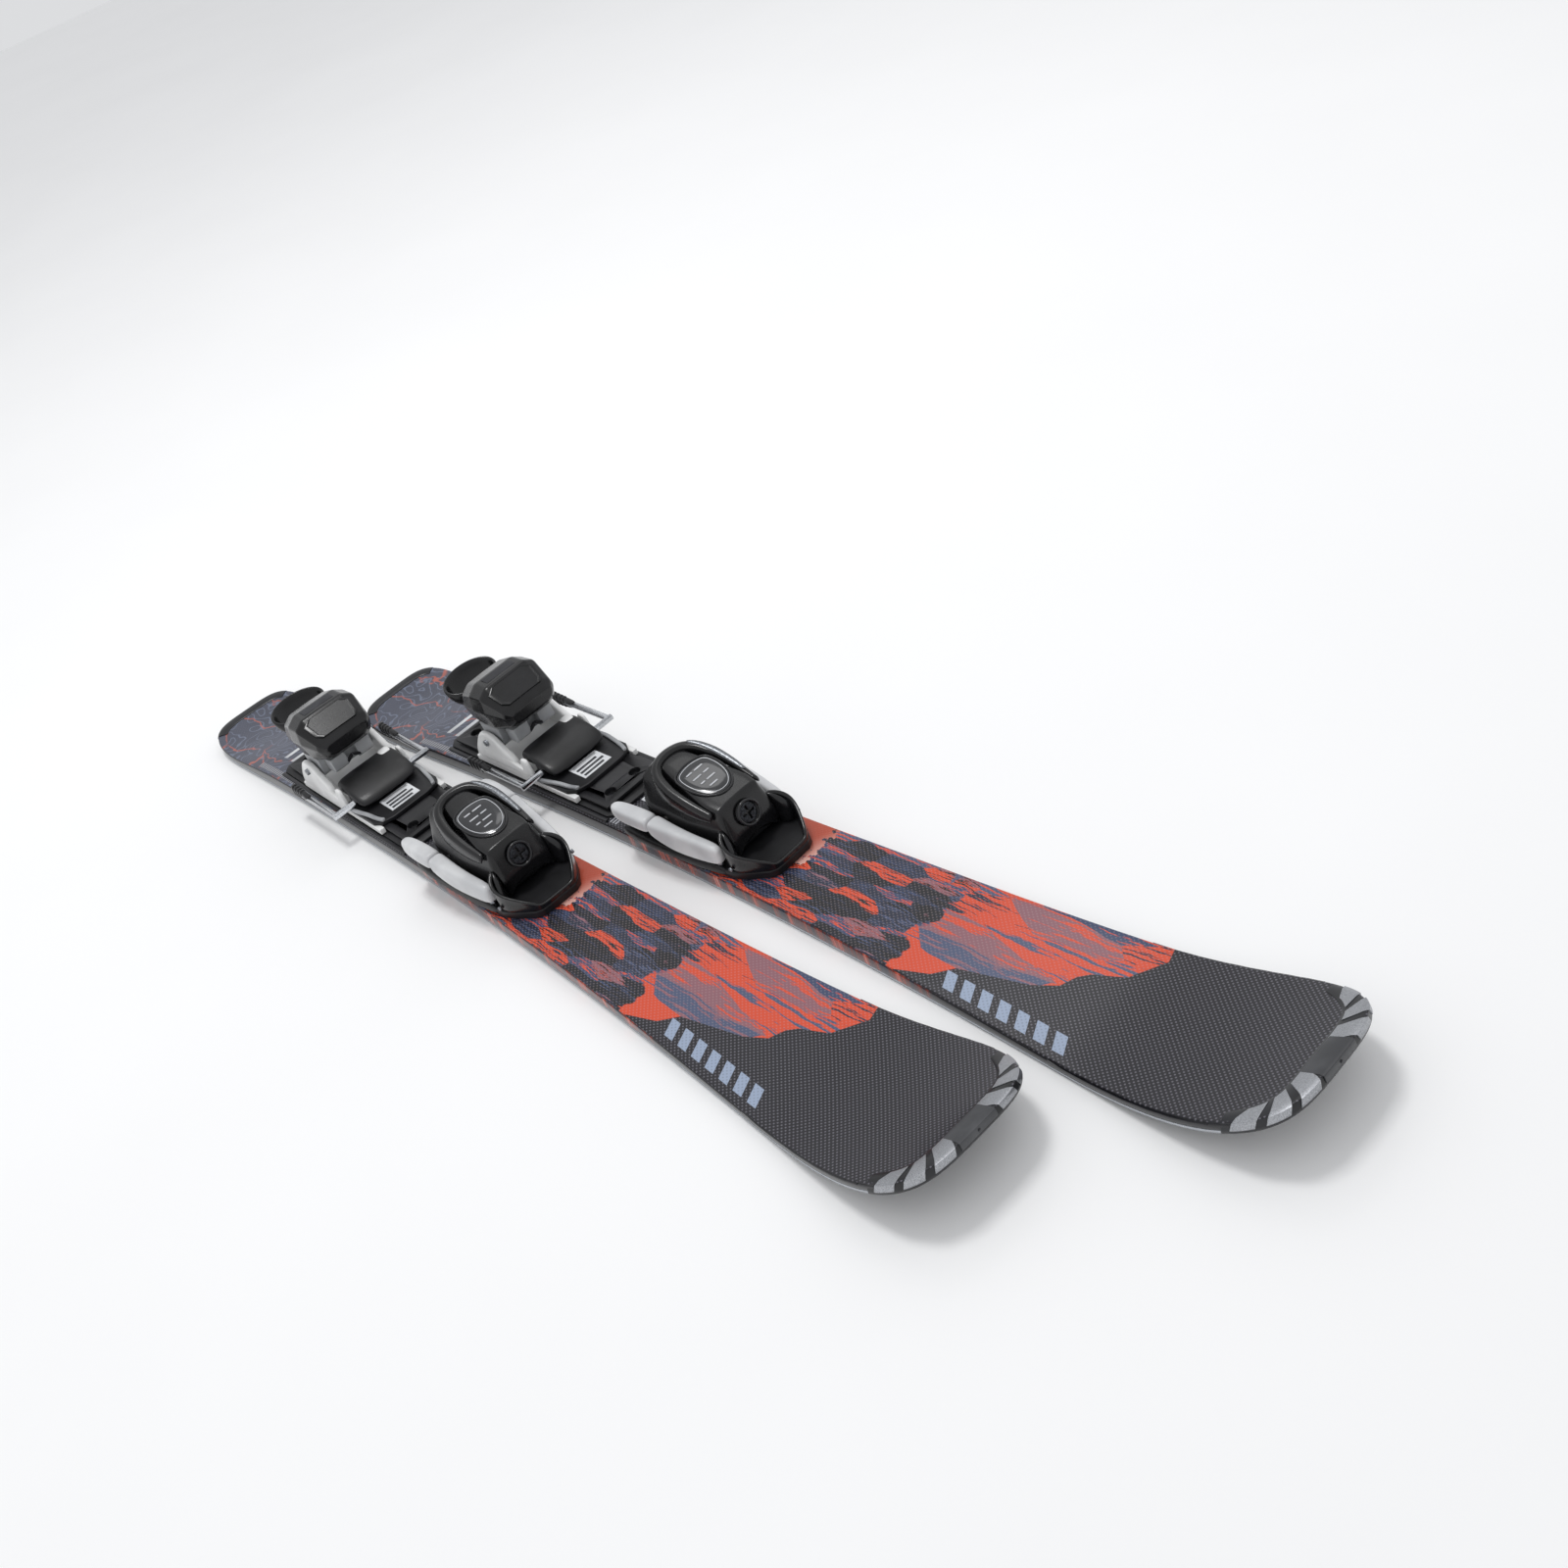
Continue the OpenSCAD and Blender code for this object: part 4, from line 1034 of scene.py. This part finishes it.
HOUSING_RINGS = ((180.0, 59.0, (13, 58.3), (16.0, 56.4), (17.6, 52.4), (15.4, 47.4), (12.0, 45.2),
    45.0), (188.4, 68.4, (16, 68.0), (23.8, 63.0), (26.4, 54.5), (23.6, 42.0), (18.0, 37.0), 36.8),
    (206.0, 74.3, (18, 74.2), (26.4, 68.4), (28.6, 56.5), (25.4, 41.6), (19.8, 36.6), 36.4),
    (221.4, 74.9, (18.6, 74.7), (26.6, 69.6), (28.4, 57.6), (25.2, 42.0), (19.2, 36.8), 36.6),
    (240.2, 62.8, (17.6, 62.1), (22.8, 60.0), (24.2, 54.2), (21.4, 46.0), (15.4, 42.6), 42.4),
    (244.8, 57.4, (14.2, 57.0), (18.2, 55.8), (19.6, 53.4), (17.2, 49.4), (12.6, 47.4), 47.2),)


def heel_housing(side):
    """The faceted housing, in its open position."""
    rings = []
    for x, high, *corners, low in HOUSING_RINGS:
        rings.append([(x, 0, high)] + [(x, y, z) for y, z in corners] + [(x, 0, low)]
            + [(x, -y, z) for y, z in reversed(corners)])
    verts, faces = bridge(rings)
    build("heel_body", verts, faces, "binding_black", side, "housing", bevel=1.5, segments=4,
        angle=9, replaces=("heel_housing",))
    prism("heel_neck", "y", ((192.4, 38), (195, 22.4), (199, 19.2), (203, 18.7), (210.6, 18.7),
        (217.6, 24.2), (218.6, 38)), -23.1, 23.1, "cup_grey", side, "housing", bevel=1.0,
        segments=3, replaces=("heel_housing",))
    slope = [(224.4, 15.4, 73.2), (227.5, 21.4, 70.8), (237.4, 19.6, 64.8), (241.0, 15.2, 62.9)]
    loop = slope + [(x, -y, z) for x, y, z in reversed(slope)]
    lifted = [[(x + lift * 0.5, y * f, z + lift * 0.8) for x, y, z in loop] for f,
        lift in ((1.0, -1.4), (1.0, 0.5), (0.94, 0.7), (0.86, 0.7), (0.83, 0.4))]
    verts, faces = bridge(lifted)
    build("heel_panel", verts, faces, "binding_black", side, "housing", bevel=0.3, angle=20)
    prism("heel_strip", "z", ((208.5, -13.5), (217.5, -13.5), (217.5, 13.5), (208.5, 13.5)), 73.4,
        74.95, "pad_dark", side, "housing", bevel=0.4)
    for sign in (-1, 1):
        prism("cup_chevron_" + ("left" if sign > 0 else "right"), "x",
            ((sign * 0.4, 31.0), (sign * 6.0, 28.0), (sign * 6.0, 30.4), (sign * 0.4, 33.6)),
            231.4, 233.6, "base_black", side, "housing", bevel=0.3, slot=None)


def heel_lever(side):
    """A scooped lever: a thin bowl that opens upwards behind the housing."""
    cx, cz, rx, ry, rz = 161.6, 57.0, 14.8, 24.4, 18.0
    outer = ((1.0, 0.0), (0.985, 0.2), (0.93, 0.45), (0.8, 0.7), (0.56, 0.9), (0.16, 0.985))
    inner = [(r * 0.88, d * 0.86) for r, d in reversed(outer)]

    def ring(r, d):
        out = []
        for k in range(28):
            a = 2 * math.pi * k / 28
            x, y, z = rx * r * math.cos(a), ry * r * math.sin(a), -rz * d
            out.append((cx + x - 0.3 * z, y, cz + z - 0.3 * x))
        return out

    rings = [ring(r, d) for r, d in reversed(outer)]
    rings += [ring(0.94, -0.035)]
    rings += [ring(r, d) for r, d in reversed(inner)]
    verts, faces = bridge(rings)
    build("lever_scoop", verts, faces, "binding_black", side, "lever", subsurf=1,
        replaces=("heel_lever",))
    prism("lever_arm", "y", ((170, 40.6), (178, 39.4), (186, 40.2), (189.3, 43.5), (186, 45.4),
        (178, 45.0), (171, 47.0)), -12.8, 12.8, "base_black", side, "lever", bevel=0.9, segments=3,
        replaces=("heel_lever",))
    tube("lever_pin", [(186, -17.5, 43.5), (186, 17.5, 43.5)], 2.0, "screw_steel", side, "lever",
        sides=16)


def brake_pedal(side):
    """A smooth pillow, thick at the rear and thin at its nose."""
    section = [(238.2, 20.4), (238.4, 23.4), (240.6, 25.6), (245, 26.5), (252, 26.0), (261, 23.9),
        (270, 21.2), (276.5, 18.4), (280.0, 15.6), (280.2, 13.8), (277.6, 13.6), (273, 17.2),
        (266, 19.0), (254, 19.5), (243, 19.5), (239.6, 19.5)]
    mid_x, mid_z = 259.0, 20.0
    rings = []
    for y, sx, sz in ((-26.0, 0.62, 0.45), (-25.2, 0.84, 0.8), (-23, 0.94, 0.95), (-18, 1.0, 1.0),
            (-9, 1.0, 1.03), (0, 1.0, 1.04), (9, 1.0, 1.03), (18, 1.0, 1.0), (23, 0.94, 0.95),
            (25.2, 0.84, 0.8), (26.0, 0.62, 0.45)):
        rings.append([(mid_x + (x - mid_x) * sx, y, min(26.6, mid_z + (z - mid_z) * sz)) for x,
            z in section])
    verts, faces = bridge(rings)
    build("pedal_pillow", verts, faces, "pedal_black", side, "pedal", subsurf=1,
        replaces=("brake_pedal",))
    for sign, word in HANDS:
        prism("pedal_lug_" + word, "y", ((257.8, 20.6), (257.8, 13.4), (260.0, 11.6),
            (264.0, 11.6), (266.2, 13.4), (266.2, 20.6)), 22.8, 26.0, "pedal_black", side, "pedal",
            bevel=0.7, segments=3, mirror=sign < 0, replaces=("brake_pedal",))
    loft("pedal_tab", "x", ((240.5, 14.5, 22.5, 24.6, 26.3, 3, 0),
        (243, 14, 23.2, 24.8, 27.2, 3, 0), (248, 14.2, 23.4, 24.6, 27.0, 3, 0),
        (250, 15, 22.6, 24.4, 26.2, 3, 0)), "carriage_white", side, "pedal", subsurf=1)


CLAW_REAR = 188.0


def brake_claw(side):
    """Ribbed grips on the ends of the brake wire."""
    for sign, word in HANDS:
        stations = [(CLAW_REAR + 0.4, 41.4, 43.6, 11.5, 15.5, 2.6, 0),
            (CLAW_REAR + 1.6, 40.6, 44.6, 9.8, 17.4, 3, 0)]
        for k in range(4):
            x = CLAW_REAR + 4.0 + 4.4 * k
            fat, thin = 1.0 - 0.03 * k, 0.8 - 0.02 * k
            for at, f in ((x, fat), (x + 1.9, fat), (x + 2.5, thin), (x + 3.8, thin)):
                stations.append((at, 42.7 - 2.8 * f, 42.7 + 2.8 * f, 13.4 - 5.0 * f, 13.4 + 5.2
                    * f, 3.2, 0))
        stations += [(CLAW_REAR + 22.4, 40.2, 45.2, 9.6, 17.2, 3, 0),
            (CLAW_REAR + 27, 40.2, 45.2, 10.4, 16.4, 3, 0),
            (CLAW_REAR + 29.8, 40.6, 44.8, 10.9, 15.9, 2.8, 0)]
        loft("claw_" + word, "x", stations, "claw_black", side, "brake", mirror=sign < 0,
            replaces=("brake_claws",), bevel=0.25, angle=40)


def small_labels(side):
    prism("deck_plate", "z", ((348, -4), (359.5, -4), (359.5, 15), (348, 15)), -0.05, 0.3,
        "mark_white", side, bevel=0.08)
    for k in range(2):
        x = 349.8 + 4.4 * k
        prism(f"deck_plate_bar_{k + 1}", "z", ((x, -2.4), (x + 2.2, -2.4), (x + 2.2, 13), (x, 13)),
            0.25, 0.38, "protector_grey", side, slot=None)


# ---------------------------------------------------------------- stage, light and camera

WORLD_LIGHT = 0.74
FLOOR_HALF, FLOOR_Z = 6.0, -0.0002
YAW, PITCH, ROLL = 0.5141, 0.6167, -0.3775
CAMERA_AT = (0.8769, -0.3685, 0.6878)
SENSOR, FOCAL = 36.0, 39.0276


def overhead_light(name, place, size, power):
    """A soft rectangle that shines straight down."""
    data = bpy.data.lights.new(name, "AREA")
    data.shape = "RECTANGLE"
    data.size, data.size_y = size
    data.energy = power
    obj = bpy.data.objects.new(name, data)
    bpy.context.scene.collection.objects.link(obj)
    obj.location = place
    obj.rotation_euler = Vector((0, 0, -1)).to_track_quat("-Z", "Y").to_euler()


def stage():
    mesh = bpy.data.meshes.new("floor")
    r = FLOOR_HALF
    mesh.from_pydata([(-r, -r, 0), (r, -r, 0), (r, r, 0), (-r, r, 0)], [], [(0, 1, 2, 3)])
    mesh.materials.append(floor_paint())
    floor = bpy.data.objects.new("floor", mesh)
    bpy.context.scene.collection.objects.link(floor)
    floor.location.z = FLOOR_Z
    world = bpy.data.worlds.new("studio")
    bpy.context.scene.world = world
    world.use_nodes = True
    back = world.node_tree.nodes["Background"]
    back.inputs[0].default_value = (0.97, 0.98, 1.0, 1.0)
    back.inputs[1].default_value = WORLD_LIGHT
    overhead_light("key", (-0.45, 0.15, 2.5), (0.6, 0.5), 21.0)
    overhead_light("sheen", (-1.2, 1.3, 2.2), (0.5, 1.2), 3.0)
    bpy.context.scene.view_settings.view_transform = "Standard"


def camera():
    """Ahead of the tips, high up and rolled a little, as in the photograph."""
    ahead = Vector((-math.cos(YAW) * math.cos(PITCH), math.sin(YAW) * math.cos(PITCH),
        -math.sin(PITCH)))
    right = ahead.cross(Vector((0, 0, 1))).normalized()
    up = right.cross(ahead)
    x_axis = right * math.cos(ROLL) + up * math.sin(ROLL)
    y_axis = up * math.cos(ROLL) - right * math.sin(ROLL)
    data = bpy.data.cameras.new("camera")
    data.sensor_width = SENSOR
    data.lens = FOCAL
    data.clip_start = 0.01
    obj = bpy.data.objects.new("camera", data)
    bpy.context.scene.collection.objects.link(obj)
    turn = Matrix((x_axis, y_axis, -ahead)).transposed().to_4x4()
    obj.matrix_world = Matrix.Translation(CAMERA_AT) @ turn
    bpy.context.scene.camera = obj


dress_frame()
for which in SIDES:
    for part in (ski_layers, toe_base, toe_housing, toe_crown, toe_window, toe_front, toe_wings,
            heel_carriage, heel_housing, heel_lever, brake_pedal, brake_claw, small_labels):
        part(which)
stage()
camera()
